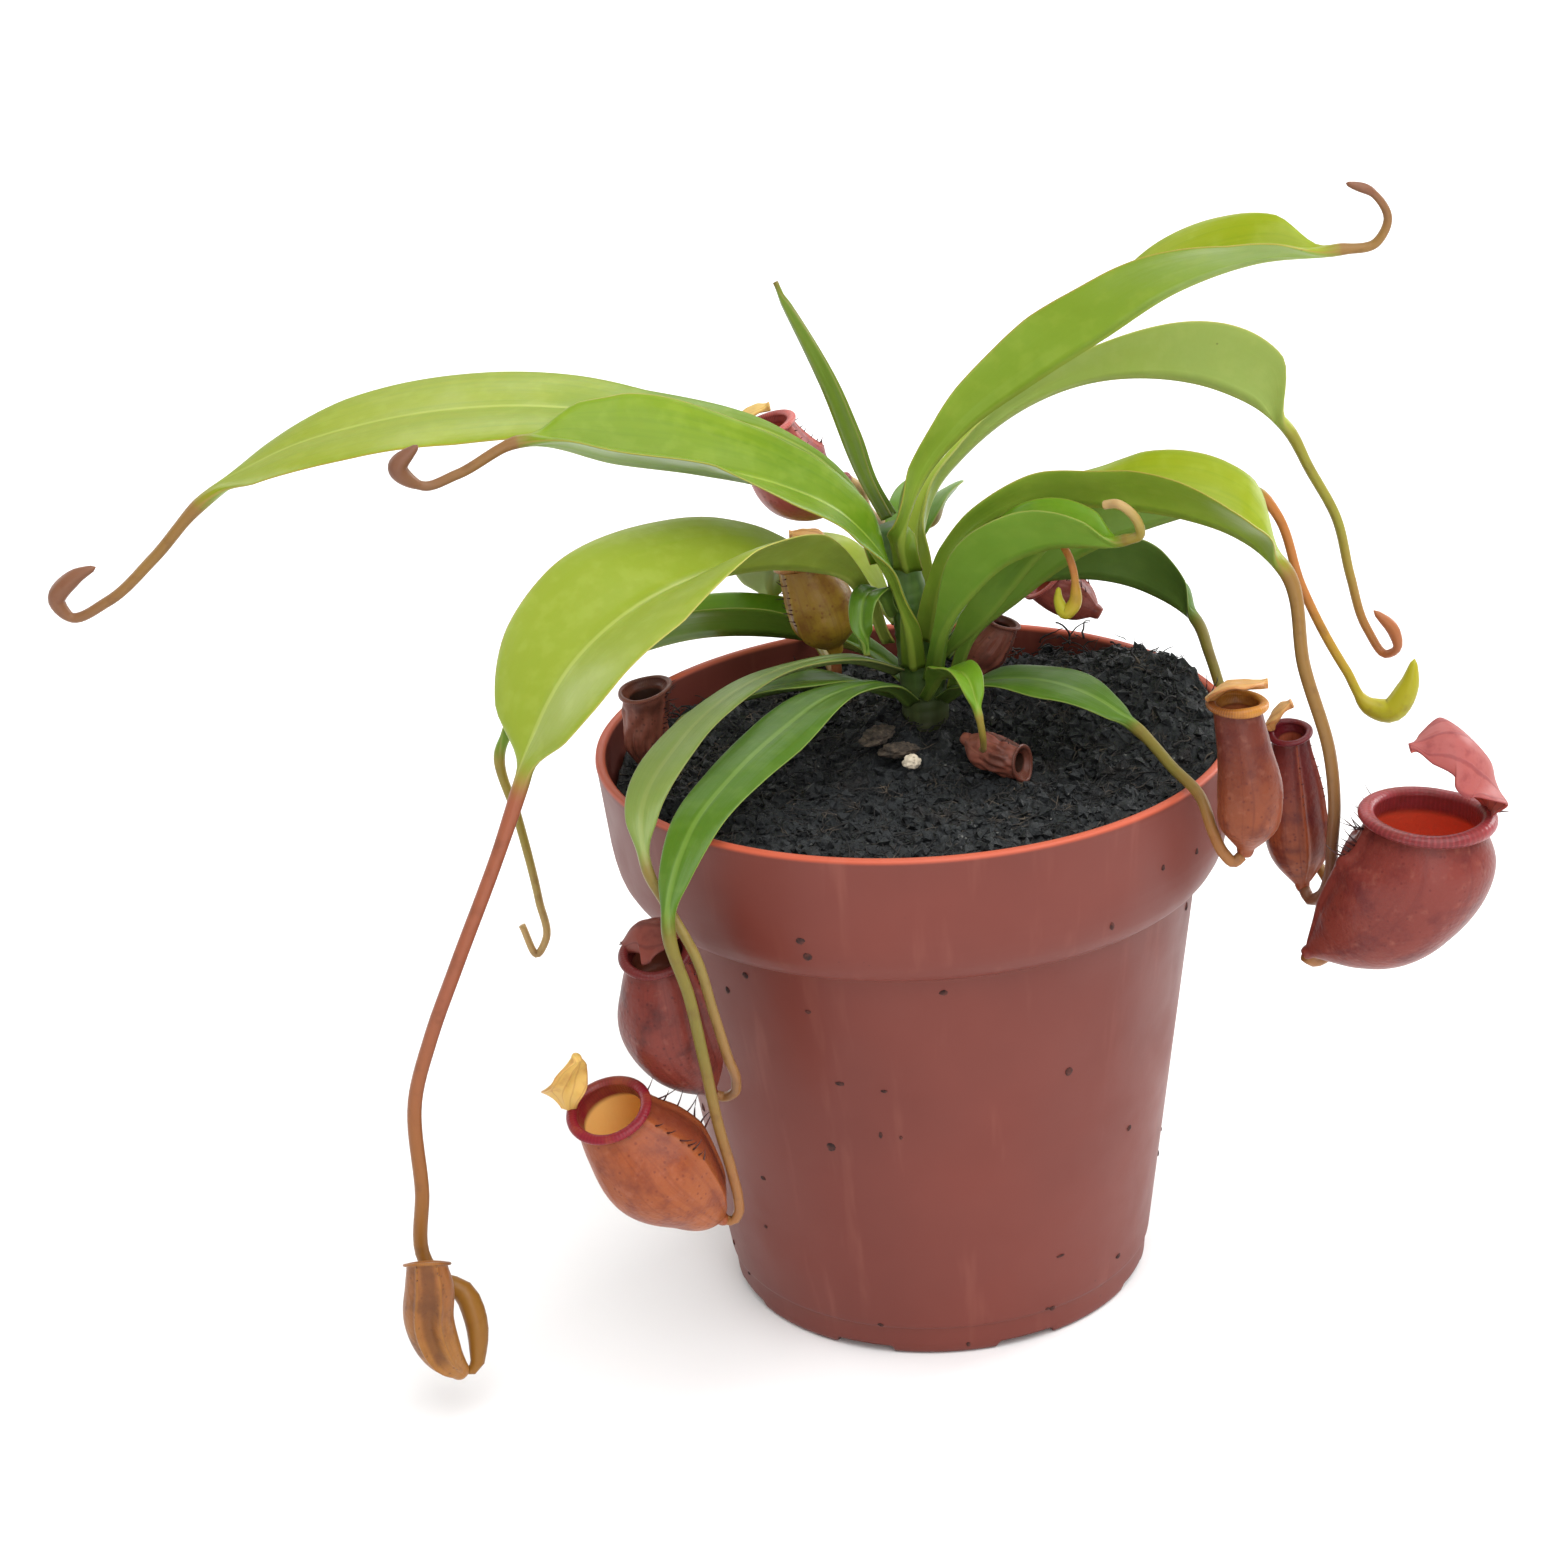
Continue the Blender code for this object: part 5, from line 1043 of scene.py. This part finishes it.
PITCHERS = {
    "pitcher_right_large": pitcher(
        [(53.6, -14, 52.6, 1.1), (58.3, -15, 55.8, 6), (65.2, -17, 62.2, 9.8),
         (68.6, -18, 68.3, 9.8), (69, -18, 73, 7.9)],
        (0.1, -0.02, 1.0), (-1.0, 0.35, 0.0), "dusky", lip=1.5, depth=13,
        wing=0.8, neck=0.9, columns=112, fringe=(0.74, 1.0, 8, 3.4)),
    "pitcher_right_front": pitcher(
        [(42.7, -34.6, 77.9, 1.2), (43, -34.5, 80.4, 3.5), (43.4, -34.5, 84.9, 4.3),
         (42.8, -34, 91.5, 3.6), (42, -33, 97.2, 3.2)],
        (0.06, -0.07, 1.0), (-0.4, 0.9, 0.0), "amber", fringe=(0.6, 0.95, 5, 0.8)),
    "pitcher_right_dark": pitcher(
        [(54, -1.2, 57.2, 1.1), (53.7, -0.5, 60.2, 3.4), (53, 0, 69.5, 4.2),
         (52.6, 0, 79.5, 2.5)],
        (-0.1, -0.2, 1.0), (0.6, -0.8, 0.0), "wine", lip=0.7, fringe=(0.6, 0.95, 6, 0.8)),
    "pitcher_left_front": pitcher(
        [(-29.55, -43.25, 31.1, 1.0), (-31, -43.9, 32.7, 3.3), (-33.2, -44.6, 35.6, 5.5),
         (-36.9, -45.5, 40.2, 7.5), (-40.2, -46, 45.6, 6.6), (-42.8, -46.5, 49.5, 4.8)],
        (-0.2, -0.35, 0.93), (0.9, -0.1, 0.4), "copper", lip=1.0, depth=11, columns=96,
        fringe=(0.5, 1.0, 8, 3.0)),
    "pitcher_left_dark": pitcher(
        [(-30.1, -37.85, 47.7, 1.1), (-31.9, -39, 51.7, 4.1), (-34.7, -40.4, 58.7, 6.2),
         (-35.2, -40.9, 65, 5.4), (-35.5, -41, 69.4, 4.0)],
        (-0.1, -0.3, 0.95), (0.9, 0.1, 0.2), "maroon", columns=84,
        fringe=(0.5, 0.98, 8, 1.0)),
    "pitcher_left_dry": pitcher(
        [(-38, 3, 79, 1.2), (-38.4, 3, 82, 2.6), (-38, 3, 86, 2.9), (-37.5, 3, 90, 3.4)],
        (-0.2, -0.1, 0.97), (1.0, -0.2, 0.0), "dry", lip=0.5, fringe=(0.6, 1.0, 8, 1.6),
        wrinkle=0.35),
    "pitcher_hanging": pitcher(
        [(-67.5, -41.8, 8.3, 1.5), (-69, -42.5, 11, 2.6), (-70.5, -43, 17, 3.4),
         (-70, -43, 22.5, 3.3), (-70, -43, 25.5, 2.8)],
        (0.0, 0.5, 0.86), (0.1, -1.0, 0.0), "tan", lip=0.5, depth=0.5, neck=0.3,
        fringe=(0.9, 1.0, 3, 0.7), groove=1.0),
    "pitcher_back_upper": pitcher(
        [(-8.6, 37.6, 108.6, 1.0), (-11.4, 35, 108, 3.8), (-15.1, 33, 110.2, 6.0),
         (-17.9, 32, 115, 5.0), (-19, 31.5, 118.8, 3.6)],
        (-0.3, -0.1, 0.95), (0.9, 0.0, 0.4), "rosy", fringe=(0.4, 0.95, 9, 1.0)),
    "pitcher_back_yellow": pitcher(
        [(-10.9, 17.4, 89.9, 1.3), (-11.4, 17.4, 92, 3.9), (-12.4, 17.4, 96.2, 4.7),
         (-13.9, 17.4, 100.6, 3.9), (-14.6, 17.4, 102.6, 3.5)],
        (-0.2, 0.05, 0.97), (-1.0, -0.3, 0.0), "ochre"),
    "pitcher_back_pink": pitcher(
        [(27.5, 32, 88, 1.2), (26, 32.5, 88.8, 2.6), (23.5, 33, 90.2, 3.3),
         (20.5, 33.5, 92, 3.0)],
        (-0.6, 0.0, 0.8), (0.4, -0.2, 0.9), "rosy", lip=0.6, wing=0.3, depth=3.0,
        fringe=(0.3, 0.95, 8, 1.3)),
    "pitcher_centre_dry": pitcher(
        [(8.2, 18.6, 80.6, 0.9), (8.6, 19, 84, 1.6), (10, 19.6, 86.5, 3.0), (12, 20, 89, 3.0),
         (13.5, 20, 91, 2.2)],
        (0.3, 0.0, 0.95), (1.0, -0.3, 0.0), "dry", lip=0.5, wing=0.3, depth=2.5,
        fringe=(0.6, 1.0, 4, 0.9), wrinkle=0.4),
    "pitcher_front_dry": pitcher(
        [(7.5, -4.5, 83, 1.0), (9, -5.5, 82.3, 2.2), (11.5, -7, 81.4, 2.6),
         (14.5, -8.5, 80.8, 2.3)],
        (0.8, -0.5, 0.1), (0.2, 0.2, 1.0), "dry", lip=0.4, wing=0.3, depth=3.0,
        fringe=(0.6, 1.0, 4, 0.9), wrinkle=0.45),
}

# Lower part, upper part, blotches, rolled rim, inside
PITCHER_LOOKS = {
    "dusky": ((122, 54, 44), (120, 53, 46), (94, 34, 34), (142, 58, 62), (232, 110, 78)),
    "wine": ((142, 72, 42), (104, 42, 36), (78, 26, 28), (92, 22, 30), (170, 90, 64)),
    "maroon": ((122, 54, 44), (110, 46, 38), (70, 28, 26), (92, 32, 32), (150, 84, 64)),
    "copper": ((152, 82, 42), (144, 74, 42), (108, 46, 32), (120, 26, 38), (248, 200, 118)),
    "amber": ((132, 68, 40), (98, 44, 32), (84, 34, 28), (168, 112, 44), (170, 104, 64)),
    "ochre": ((164, 132, 44), (150, 112, 44), (116, 72, 36), (150, 100, 50), (190, 150, 90)),
    "tan": ((158, 106, 48), (144, 90, 46), (100, 60, 34), (140, 92, 44), (128, 84, 46)),
    "rosy": ((146, 74, 62), (166, 84, 76), (112, 46, 46), (176, 92, 86), (196, 112, 92)),
    "dry": ((146, 86, 70), (126, 72, 58), (74, 42, 34), (106, 62, 50), (60, 38, 30)),
}


def pitcher_frames(shape, runs):
    """Centre, radius and ring normal along the axis; the normal eases into the mouth's."""
    length = knots_of(shape["axis"])[-1]
    value, along = curve_at(shape["axis"], runs)
    weight = smooth_step(runs / length, 0.5, 1.0)[:, None]
    normals = unit(along * (1 - weight) + unit(shape["mouth_normal"]) * weight)
    return value[:, :3], value[:, 3], normals


def pitcher_grid(shape, seed):
    """A cup as rings: up the outside, over the rolled rim and down into the hollow.

    Ring point = centre + (radius + wing + wrinkle - dent) * (cos a * across + sin a * front).
    Each wing is a ridge of Gaussian section, WING_ANGLE radians to one side of the front. The
    rim is an arc of an ellipse about the mouth's edge, raised at the back. The first rings are
    copies of the foot, set back along the axis and drawn in.
    """
    length = knots_of(shape["axis"])[-1]
    outer_runs = np.linspace(0, length, CUP_ROWS)
    angle = circle(shape["columns"])
    centre, radius, normals = pitcher_frames(shape, outer_runs)
    fronts = carry(normals[::-1], np.array(shape["front"], float))[::-1]
    across = np.cross(fronts, normals)
    off_front = np.abs(angle - math.pi / 2)
    ridge = np.exp(-((off_front - WING_ANGLE) / WING_WIDTH) ** 2)
    share = outer_runs / length
    swell = shape["wing"] * 1.15 * np.sin(math.pi * np.minimum(share, 0.9)) ** 0.5
    dent = shape["groove"] * np.exp(-(off_front / 0.34) ** 2) * np.sin(math.pi * share)[:, None]
    seam_free = np.minimum(angle, 2 * math.pi - angle)
    fold = shape["wrinkle"] * lumps(seam_free[None] * 2.6, share[:, None] * 3.0, 0.55, seed)
    soft = 0.035 * radius[:, None] * lumps(seam_free[None] * 2, share[:, None] * 3, 1.3,
                                           seed + 1)
    fade = np.sin(math.pi * share.clip(0, 0.97))[:, None] ** 0.5
    reach = radius[:, None] + swell[:, None] * ridge + (fold + soft - dent) * fade
    spokes = spokes_of(angle, across, fronts)
    foot = unit(centre[0] - centre[1])
    stalk = [centre[0] + back_off * foot + slim * reach[0][:, None] * spokes[0]
             for back_off, slim in STALK]
    rows = [np.array(stalk), centre[:, None] + reach[..., None] * spokes]
    kind = [np.zeros(len(STALK)), share]
    mouth_normal = unit(shape["mouth_normal"])
    spoke = spokes_of(angle, np.cross(fronts[-1], mouth_normal), fronts[-1])
    back = shape["neck"] * np.clip(-np.sin(angle), 0, 1)[:, None] ** 2
    bend = np.radians(np.linspace(-75, 205, RIM_ROWS))
    out = (0.30 + 0.76 * np.cos(bend))[:, None, None] * shape["lip"]
    up = (0.50 + 0.50 * np.sin(bend))[:, None, None]
    rows.append(centre[-1] + (radius[-1] + out) * spoke
                + up * (shape["lip"] + back) * mouth_normal)
    kind.append(np.linspace(1.02, 1.98, RIM_ROWS))
    inner_runs = length - shape["depth"] * np.linspace(0.06, 1.0, HOLLOW_ROWS)
    centre, radius, normals = pitcher_frames(shape, inner_runs)
    front = unit(fronts[-1] - normals * (normals @ fronts[-1])[:, None])
    closing = np.sqrt(1 - np.linspace(0, 1, HOLLOW_ROWS) ** 6 * 0.98)
    reach = np.maximum(radius - PITCHER_WALL, 0.6) * closing
    spokes = spokes_of(angle, np.cross(front, normals), front)
    rows.append(centre[:, None] + reach[:, None, None] * spokes)
    kind.append(np.linspace(2.02, 3.0, HOLLOW_ROWS))
    kind = np.concatenate(kind)[:, None]
    marks = np.stack(np.broadcast_arrays(np.cos(angle), np.sin(angle), kind), axis=-1)
    return np.concatenate(rows), marks


def pitcher_finish(name, look, gloss):
    """Pitcher skin: two tones up the cup, dark blotches, freckles and streaks, a ribbed rim.

    The band between the wings is darkened with painted shade, their ridges are pale, and the
    rim darkens to one side. gloss is false for a dried skin. The field holds cos and sin of the
    angle round the cup, and how far along its skin: 0 to 1 up the outside, 1 to 2 over the rim
    and 2 to 3 down the inside.
    """
    low, high, blotch, rim, inside = (linear(*c) for c in look)
    mat = Finish(name, Subsurface_Weight=0.10, Subsurface_Scale=0.001, IOR=1.45,
                 Specular_IOR_Level=0.28)
    cos_a, sin_a, along = mat.fields("skin")
    angle = mat.calc("ARCTAN2", sin_a, cos_a)
    colour = mat.blend(mat.between(along, 0.1, 0.9), low, high)
    cloud = mat.noise(230, 4, 0.6)
    colour = mat.blend(mat.between(cloud, 0.45, 0.7, 0.0, 0.75), colour, blotch)
    freckle = mat.between(mat.cells(900), 0.24, 0.10, 0.0, 0.6)
    colour = mat.blend(freckle, colour, blotch)
    bloom = mat.between(mat.noise(620, 3), 0.55, 0.8, 0.0, 0.14)
    colour = mat.blend(bloom, colour, linear(204, 140, 116))
    streak = mat.noise(1.0, 3, vector=mat.vector(
        mat.calc("MULTIPLY", cos_a, 9.0), mat.calc("MULTIPLY", sin_a, 9.0), along))
    colour = mat.blend(mat.between(streak, 0.5, 0.75, 0.0, 0.35), colour, blotch)
    # Painted shade: the band between the two wings is darkened towards the blotch colour.
    wing_gap_shade = mat.calc("MULTIPLY", mat.between(sin_a, 0.93, 0.985, 0.0, 0.65),
                    mat.between(along, 0.1, 0.25))
    colour = mat.blend(wing_gap_shade, colour, blotch)
    off_ridge = mat.calc("ABSOLUTE", mat.calc("SUBTRACT", sin_a, math.cos(WING_ANGLE)))
    colour = mat.blend(mat.between(off_ridge, 0.01, 0.03, 0.45, 0.0), colour, low)
    on_rim = mat.calc("MULTIPLY", mat.between(along, 0.985, 1.03),
                     mat.between(along, 2.04, 2.12, 1.0, 0.0))
    ribs = mat.calc("SINE", mat.calc("MULTIPLY", angle, 70.0))
    rim = mat.blend(mat.between(cos_a, -0.3, -0.9, 0.0, 0.7), rim, blotch)
    rim_tone = mat.blend(mat.between(ribs, -0.2, 1.0, 0.0, 0.18), rim, linear(
        *(min(255, int(c * 1.25 + 10)) for c in look[3])))
    rim_tone = mat.blend(mat.between(cloud, 0.45, 0.7, 0.0, 0.5), rim_tone, high)
    colour = mat.blend(on_rim, colour, rim_tone)
    colour = mat.blend(mat.between(along, 2.04, 2.16), colour, inside)
    rough = mat.between(on_rim, 0.0, 1.0, 0.46 - 0.1 * gloss, 0.3)
    relief = mat.calc("MULTIPLY_ADD", ribs, mat.calc("MULTIPLY", on_rim, 0.07),
                     mat.calc("ADD", cloud, mat.noise(1400, 2)))
    return mat.cover(colour, rough, relief, strength=0.35, depth=0.00025)


def fringe_paths(shape, grid, seed):
    """Hairs along both wings: strands that stand out from the wing's ridge and curl.

    Point at share t = root + size * (t * lean + t * t * curl / 4). Gives paths and radii.
    """
    start, end, count, length = shape["fringe"]
    rng = np.random.default_rng(seed)
    columns = shape["columns"]
    last = CUP_ROWS - 1
    rows = np.linspace(start, end, count) * last
    cup = grid[len(STALK):]
    t = np.linspace(0, 1, len(HAIR_RADII))[None, :, None]
    paths = []
    for side in (-WING_ANGLE, WING_ANGLE):
        column = int(round((math.pi / 2 + side) / (2 * math.pi) * columns)) % columns
        row = np.clip(rows + rng.normal(0, 0.6, count), 0, last).astype(int)
        root = cup[row, column]
        middle = cup[row].mean(axis=1)
        out = unit(root - middle)
        up = unit(cup[np.minimum(row + 2, last)].mean(axis=1)
                  - cup[np.maximum(row - 2, 0)].mean(axis=1))
        lean = unit(out + 0.35 * up + rng.normal(0, 0.22, (count, 3)))
        curl = unit(rng.normal(0, 1, (count, 3)) + 0.8 * up)
        size = length * rng.uniform(0.55, 1.1, count)
        bend = t * lean[:, None] + 0.25 * t * t * curl[:, None]
        paths.append((root - 0.25 * out)[:, None] + size[:, None, None] * bend)
    radii = np.repeat(HAIR_RADII[None], 2 * count, axis=0) * min(1.0, 0.6 + 0.2 * length)
    return np.concatenate(paths), radii


def bristle_finish():
    """Fringe hairs: dark wine-brown, mottled between two tones."""
    mat = Finish("pitcher_bristle_finish", Roughness=0.5)
    colour = mat.ramp(mat.noise(700, 2), [(0.35, linear(44, 20, 22)), (0.7, linear(84, 38, 34))])
    return mat.cover(colour)


pitcher_skins = {look: pitcher_finish("pitcher_skin_" + look, tints, look != "dry")
                 for look, tints in PITCHER_LOOKS.items()}
bristle = bristle_finish()
rims = {}
for seed, (name, shape) in enumerate(PITCHERS.items(), start=40):
    grid, marks = pitcher_grid(shape, seed)
    points, faces = closed_grid(grid)
    rim_rows = grid[len(STALK) + CUP_ROWS:-HOLLOW_ROWS]
    rims[name.replace("pitcher", "lid")] = rim_rows.reshape(-1, 3)
    cup = add_mesh(name + "_cup", points, faces, pitcher_skins[shape["look"]],
                   {"skin": with_ends(marks)})
    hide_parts(name)
    points, faces = tubes(*fringe_paths(shape, grid, seed))
    fringe = add_mesh(name.replace("pitcher", "fringe"), points, faces, bristle)

# Lids
# A small leafy lid grows from the back of the mouth and keeps rain out of the cup. It has
# branched veins, and a dark forked spur stands behind its foot.

SPINE_STATIONS = 4
# Lengths of a spur's tines as shares of the spur, and the radii along each
TINE_SHARES = np.array((1.0, 0.8, 0.6, 0.5, 0.7))
TINE_RADII = np.linspace(0.22, 0.05, 5)


def lid(spine, half_width, right, left, look, spur=1.2):
    """One lid: its midline from foot to tip, how many degrees each side rises, its spur."""
    return dict(spine=spine, half_width=half_width, right=right, left=left, look=look,
                spur=spur)


LIDS = {
    "lid_right_large": lid([(78.8, -18, 75.8), (77.3, -18.5, 81.3), (73.3, -19.5, 85.7),
                            (69, -20, 86.4), (66.3, -20, 84.8)], 8.0, 0, -48, "rose", 2.2),
    "lid_right_front": lid([(37.8, -32.5, 99.6), (42, -32.8, 100.2), (46, -32.8, 100.2)],
                           4.1, 14, -14, "sand", 0.8),
    "lid_right_dark": lid([(49.6, 0.5, 81.3), (50.9, 0.3, 83.2), (52.9, 0, 84.3)], 2.8, -5, -5,
                          "sand", 0.7),
    "lid_left_front": lid([(-49.2, -45.8, 51.4), (-48.2, -47.4, 55.3), (-46.2, -49.4, 59.4)],
                          3.3, -8, -8, "cream", 1.2),
    "lid_left_dark": lid([(-40.6, -38.9, 71.8), (-36, -40.4, 74), (-31.4, -42.2, 73)],
                         5.6, -50, -18, "brown", 0.8),
    "lid_back_upper": lid([(-24.1, 32, 119.7), (-21.6, 31.8, 121.5), (-18.5, 31.5, 122.2)],
                          3.2, -4, -4, "cream", 0.8),
    "lid_back_yellow": lid([(-10.2, 17.4, 105.5), (-12.6, 17.4, 107), (-16.4, 17.4, 107.2)],
                           3.6, -8, -8, "sand", 0.7),
    "lid_back_pink": lid([(22.3, 33.5, 95.7), (19.8, 33.5, 96.7), (16.3, 33.5, 94.7)],
                         2.8, -15, -15, "rose", 0.7),
}
# Upper side, underside, veins
LID_LOOKS = {
    "rose": ((158, 82, 78), (184, 96, 84), (112, 40, 46)),
    "sand": ((196, 148, 88), (186, 132, 76), (142, 84, 48)),
    "cream": ((200, 166, 88), (206, 168, 92), (158, 104, 58)),
    "brown": ((116, 56, 46), (128, 66, 50), (72, 28, 26)),
}


def lid_finish(name, look):
    """Lid skin: a cloudy ground colour with veins that spread from the foot, a dark edge."""
    upper, under, vein = (linear(*c) for c in look)
    mat = Finish(name, Subsurface_Weight=0.15, Subsurface_Scale=0.001, IOR=1.42,
                 Specular_IOR_Level=0.3)
    across, side, _ = mat.fields("blade")
    share = mat.field("share")
    ground = mat.blend(side, upper, under)
    cloud = mat.noise(420, 3, 0.6)
    colour = mat.blend(mat.between(cloud, 0.5, 0.75, 0.0, 0.45), ground, vein)
    spread = mat.calc("MULTIPLY", across, mat.calc("MULTIPLY_ADD", share, -6.0, 15.0))
    web = mat.between(mat.calc("SINE", mat.calc("MULTIPLY_ADD", cloud, 1.6, spread)), 0.75, 1.0,
                      0.0, 0.4)
    colour = mat.blend(web, colour, vein)
    edge = mat.between(mat.calc("ABSOLUTE", across), 0.9, 1.0, 0.0, 0.5)
    colour = mat.blend(edge, colour, vein)
    rough = mat.between(cloud, 0.3, 0.7, 0.38, 0.55)
    return mat.cover(colour, rough, mat.calc("ADD", cloud, web), strength=0.3, depth=0.0002)


def spur_paths(spine, length, seed):
    """Tines behind a lid's foot: point at share t = foot + length * (t * tine + t * t / 5 up)."""
    rng = np.random.default_rng(seed)
    back = (spine[0] - spine[-1]) * (1, 1, 0)
    away = unit(spine[0] - spine[1]) * 0.3 + unit(back)
    tines = unit(away + rng.normal(0, 0.4, (len(TINE_SHARES), 3)))
    t = np.linspace(0, 1, len(TINE_RADII))[None, :, None]
    lengths = (length * TINE_SHARES)[:, None, None]
    return spine[0] + lengths * (t * tines[:, None] + 0.2 * t * t * UP)


lid_skins = {look: lid_finish("lid_skin_" + look, tints) for look, tints in LID_LOOKS.items()}
for seed, (name, shape) in enumerate(LIDS.items(), start=80):
    length = knots_of(shape["spine"])[-1]
    spine, _ = curve_at(shape["spine"], np.linspace(0, length, SPINE_STATIONS))
    # The foot is set on the nearest point of the pitcher's rim
    to_rim = np.linalg.norm(rims[name] - spine[0], axis=1)
    spine[0] = rims[name][np.argmin(to_rim)]
    flap = leaf(None, [], [], shape["half_width"], 0.5, (shape["right"],) * 2,
                (shape["left"],) * 2, None, across=19, petiole=0.35 * shape["half_width"],
                tendril_radius=(0.7, 0.7), opening=0.01, wave=0.12)
    grid, marks, share = leaf_grid(flap, [tuple(point) for point in spine])
    points, faces = closed_grid(grid)
    flap_piece = add_mesh(name + "_flap", points, faces, lid_skins[shape["look"]],
                          {"blade": with_ends(marks), "share": with_ends(share)})
    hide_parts(name)
    paths = spur_paths(spine, shape["spur"], seed)
    points, faces = tubes(paths, np.repeat(TINE_RADII[None], len(paths), axis=0))
    spur = add_mesh(name.replace("lid", "spur"), points, faces, bristle)

# Loose pieces on the soil
# A grain of expanded perlite and two chips of composted bark from the potting mix. They lie
# loose where they fell.

LUMP_RINGS = 30
LUMP_COLUMNS = 44


def lump_grid(place, size, turn, roughness, seed):
    """A sphere of rings scaled to size, pushed in and out by lumps, then turned about Z."""
    polar = np.linspace(0.12, math.pi - 0.12, LUMP_RINGS)[:, None]
    around = circle(LUMP_COLUMNS)[None]
    seam_free = np.minimum(around, 2 * math.pi - around)
    broad = lumps(polar * 3, seam_free * 3, 1.0, seed)
    fine = lumps(polar * 8, seam_free * 8, 1.0, seed + 1)
    push = 1 + roughness * broad + 0.5 * roughness * fine
    x = push * np.sin(polar) * np.cos(around) * size[0] / 2
    y = push * np.sin(polar) * np.sin(around) * size[1] / 2
    z = push * np.cos(polar) * size[2] / 2
    c, s = math.cos(math.radians(turn)), math.sin(math.radians(turn))
    return np.stack((x * c - y * s, x * s + y * c, z), axis=-1) + np.array(place)


def perlite_finish():
    """Expanded volcanic glass: cream-white and pitted."""
    mat = Finish("perlite_finish", Roughness=0.9)
    pits = mat.cells(1500)
    colour = mat.ramp(pits, [(0.05, linear(150, 132, 108)), (0.4, linear(226, 212, 188))])
    return mat.cover(colour, relief=pits, strength=0.7, depth=0.0002)


def bark_finish():
    """Composted bark: grey-brown, ridged along its grain."""
    mat = Finish("bark_finish", Roughness=0.9)
    ridge = mat.noise(500, 4, 0.7, distortion=1.5)
    colour = mat.ramp(ridge, [(0.35, linear(34, 29, 25)), (0.6, linear(84, 72, 60)),
                              (0.8, linear(126, 110, 92))])
    return mat.cover(colour, relief=ridge, strength=0.8, depth=0.0004)


bark = bark_finish()
for name, place, size, turn, rough, material in (
        ("perlite_grain", (-0.6, -4.4, 80.2), (2.6, 2.2, 2.0), 30, 0.14, perlite_finish()),
        ("bark_chip_large", (-5.2, 1.8, 82.0), (7, 3.6, 2.0), 60, 0.22, bark),
        ("bark_chip_small", (-2.4, -1.5, 80.9), (5.5, 3.2, 1.8), 10, 0.22, bark)):
    points, faces = closed_grid(lump_grid(place, size, turn, rough, seed=90))
    lump = add_mesh(name + "_lump", points, faces, material)
    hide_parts(name)

# Studio
# A pale floor and a white surround under soft lamps: a broad one overhead, one in front, one
# behind at each side and one over the floor at the back. The camera stands in front and
# looks down at the rim.

bpy.ops.mesh.primitive_plane_add(size=8)
floor = bpy.context.object
floor.name = "studio_floor"
paper = Finish("studio_paper", Roughness=0.9)
floor.data.materials.append(paper.cover(paper.ramp(paper.noise(3, 2), [
    (0.4, (0.93, 0.93, 0.93, 1)), (0.6, (0.94, 0.94, 0.94, 1))])))

world = bpy.data.worlds.new("studio_surround")
bpy.context.scene.world = world
world.use_nodes = True
world.node_tree.nodes["Background"].inputs["Color"].default_value = (1.0, 1.0, 1.0, 1)
world.node_tree.nodes["Background"].inputs["Strength"].default_value = 0.5
bpy.context.scene.view_settings.view_transform = "Standard"


def stand(name, data, place, right, top, forward):
    """A lamp or a camera at place, turned to look along forward."""
    held = bpy.data.objects.new(name, data)
    turned = np.column_stack((right, top, -np.asarray(forward), place))
    held.matrix_world = Matrix(np.vstack((turned, (0, 0, 0, 1))).tolist())
    bpy.context.scene.collection.objects.link(held)
    return held


def lamp(name, place, target, size, power):
    """A square soft lamp at place that faces target: sizes in metres, power in watts."""
    light = bpy.data.lights.new(name, "AREA")
    light.size = size
    light.energy = power
    forward = unit(np.array(target, float) - np.array(place, float))
    right = unit(np.cross(forward, UP))
    stand(name, light, place, right, np.cross(right, forward), forward)


lamp("lamp_overhead", (0.35, -0.45, 1.25), (0, 0, 0.08), 1.4, 21)
lamp("lamp_front", (0.3, -1.3, 0.45), (0, 0, 0.10), 0.9, 5)
lamp("lamp_right", (1.0, 0.75, 0.55), (0, 0, 0.08), 0.7, 9)
lamp("lamp_left", (-1.0, 0.6, 0.55), (0, 0, 0.08), 0.7, 4)
lamp("lamp_backdrop", (0, 1.7, 1.3), (0, 1.75, 0), 1.6, 18)

CAMERA_PLACE = (0.0, -0.460, 0.2664)
CAMERA_RIGHT = (0.99791, 0.01646, -0.06244)
CAMERA_UP = (0.05142, 0.38240, 0.92257)
CAMERA_FORWARD = (-0.03907, 0.92385, -0.38075)
lens = bpy.data.cameras.new("front_camera")
lens.lens = 81.35
lens.sensor_width = 36.0
lens.clip_start = 0.01
bpy.context.scene.camera = stand("front_camera", lens, CAMERA_PLACE, CAMERA_RIGHT, CAMERA_UP,
                                 CAMERA_FORWARD)
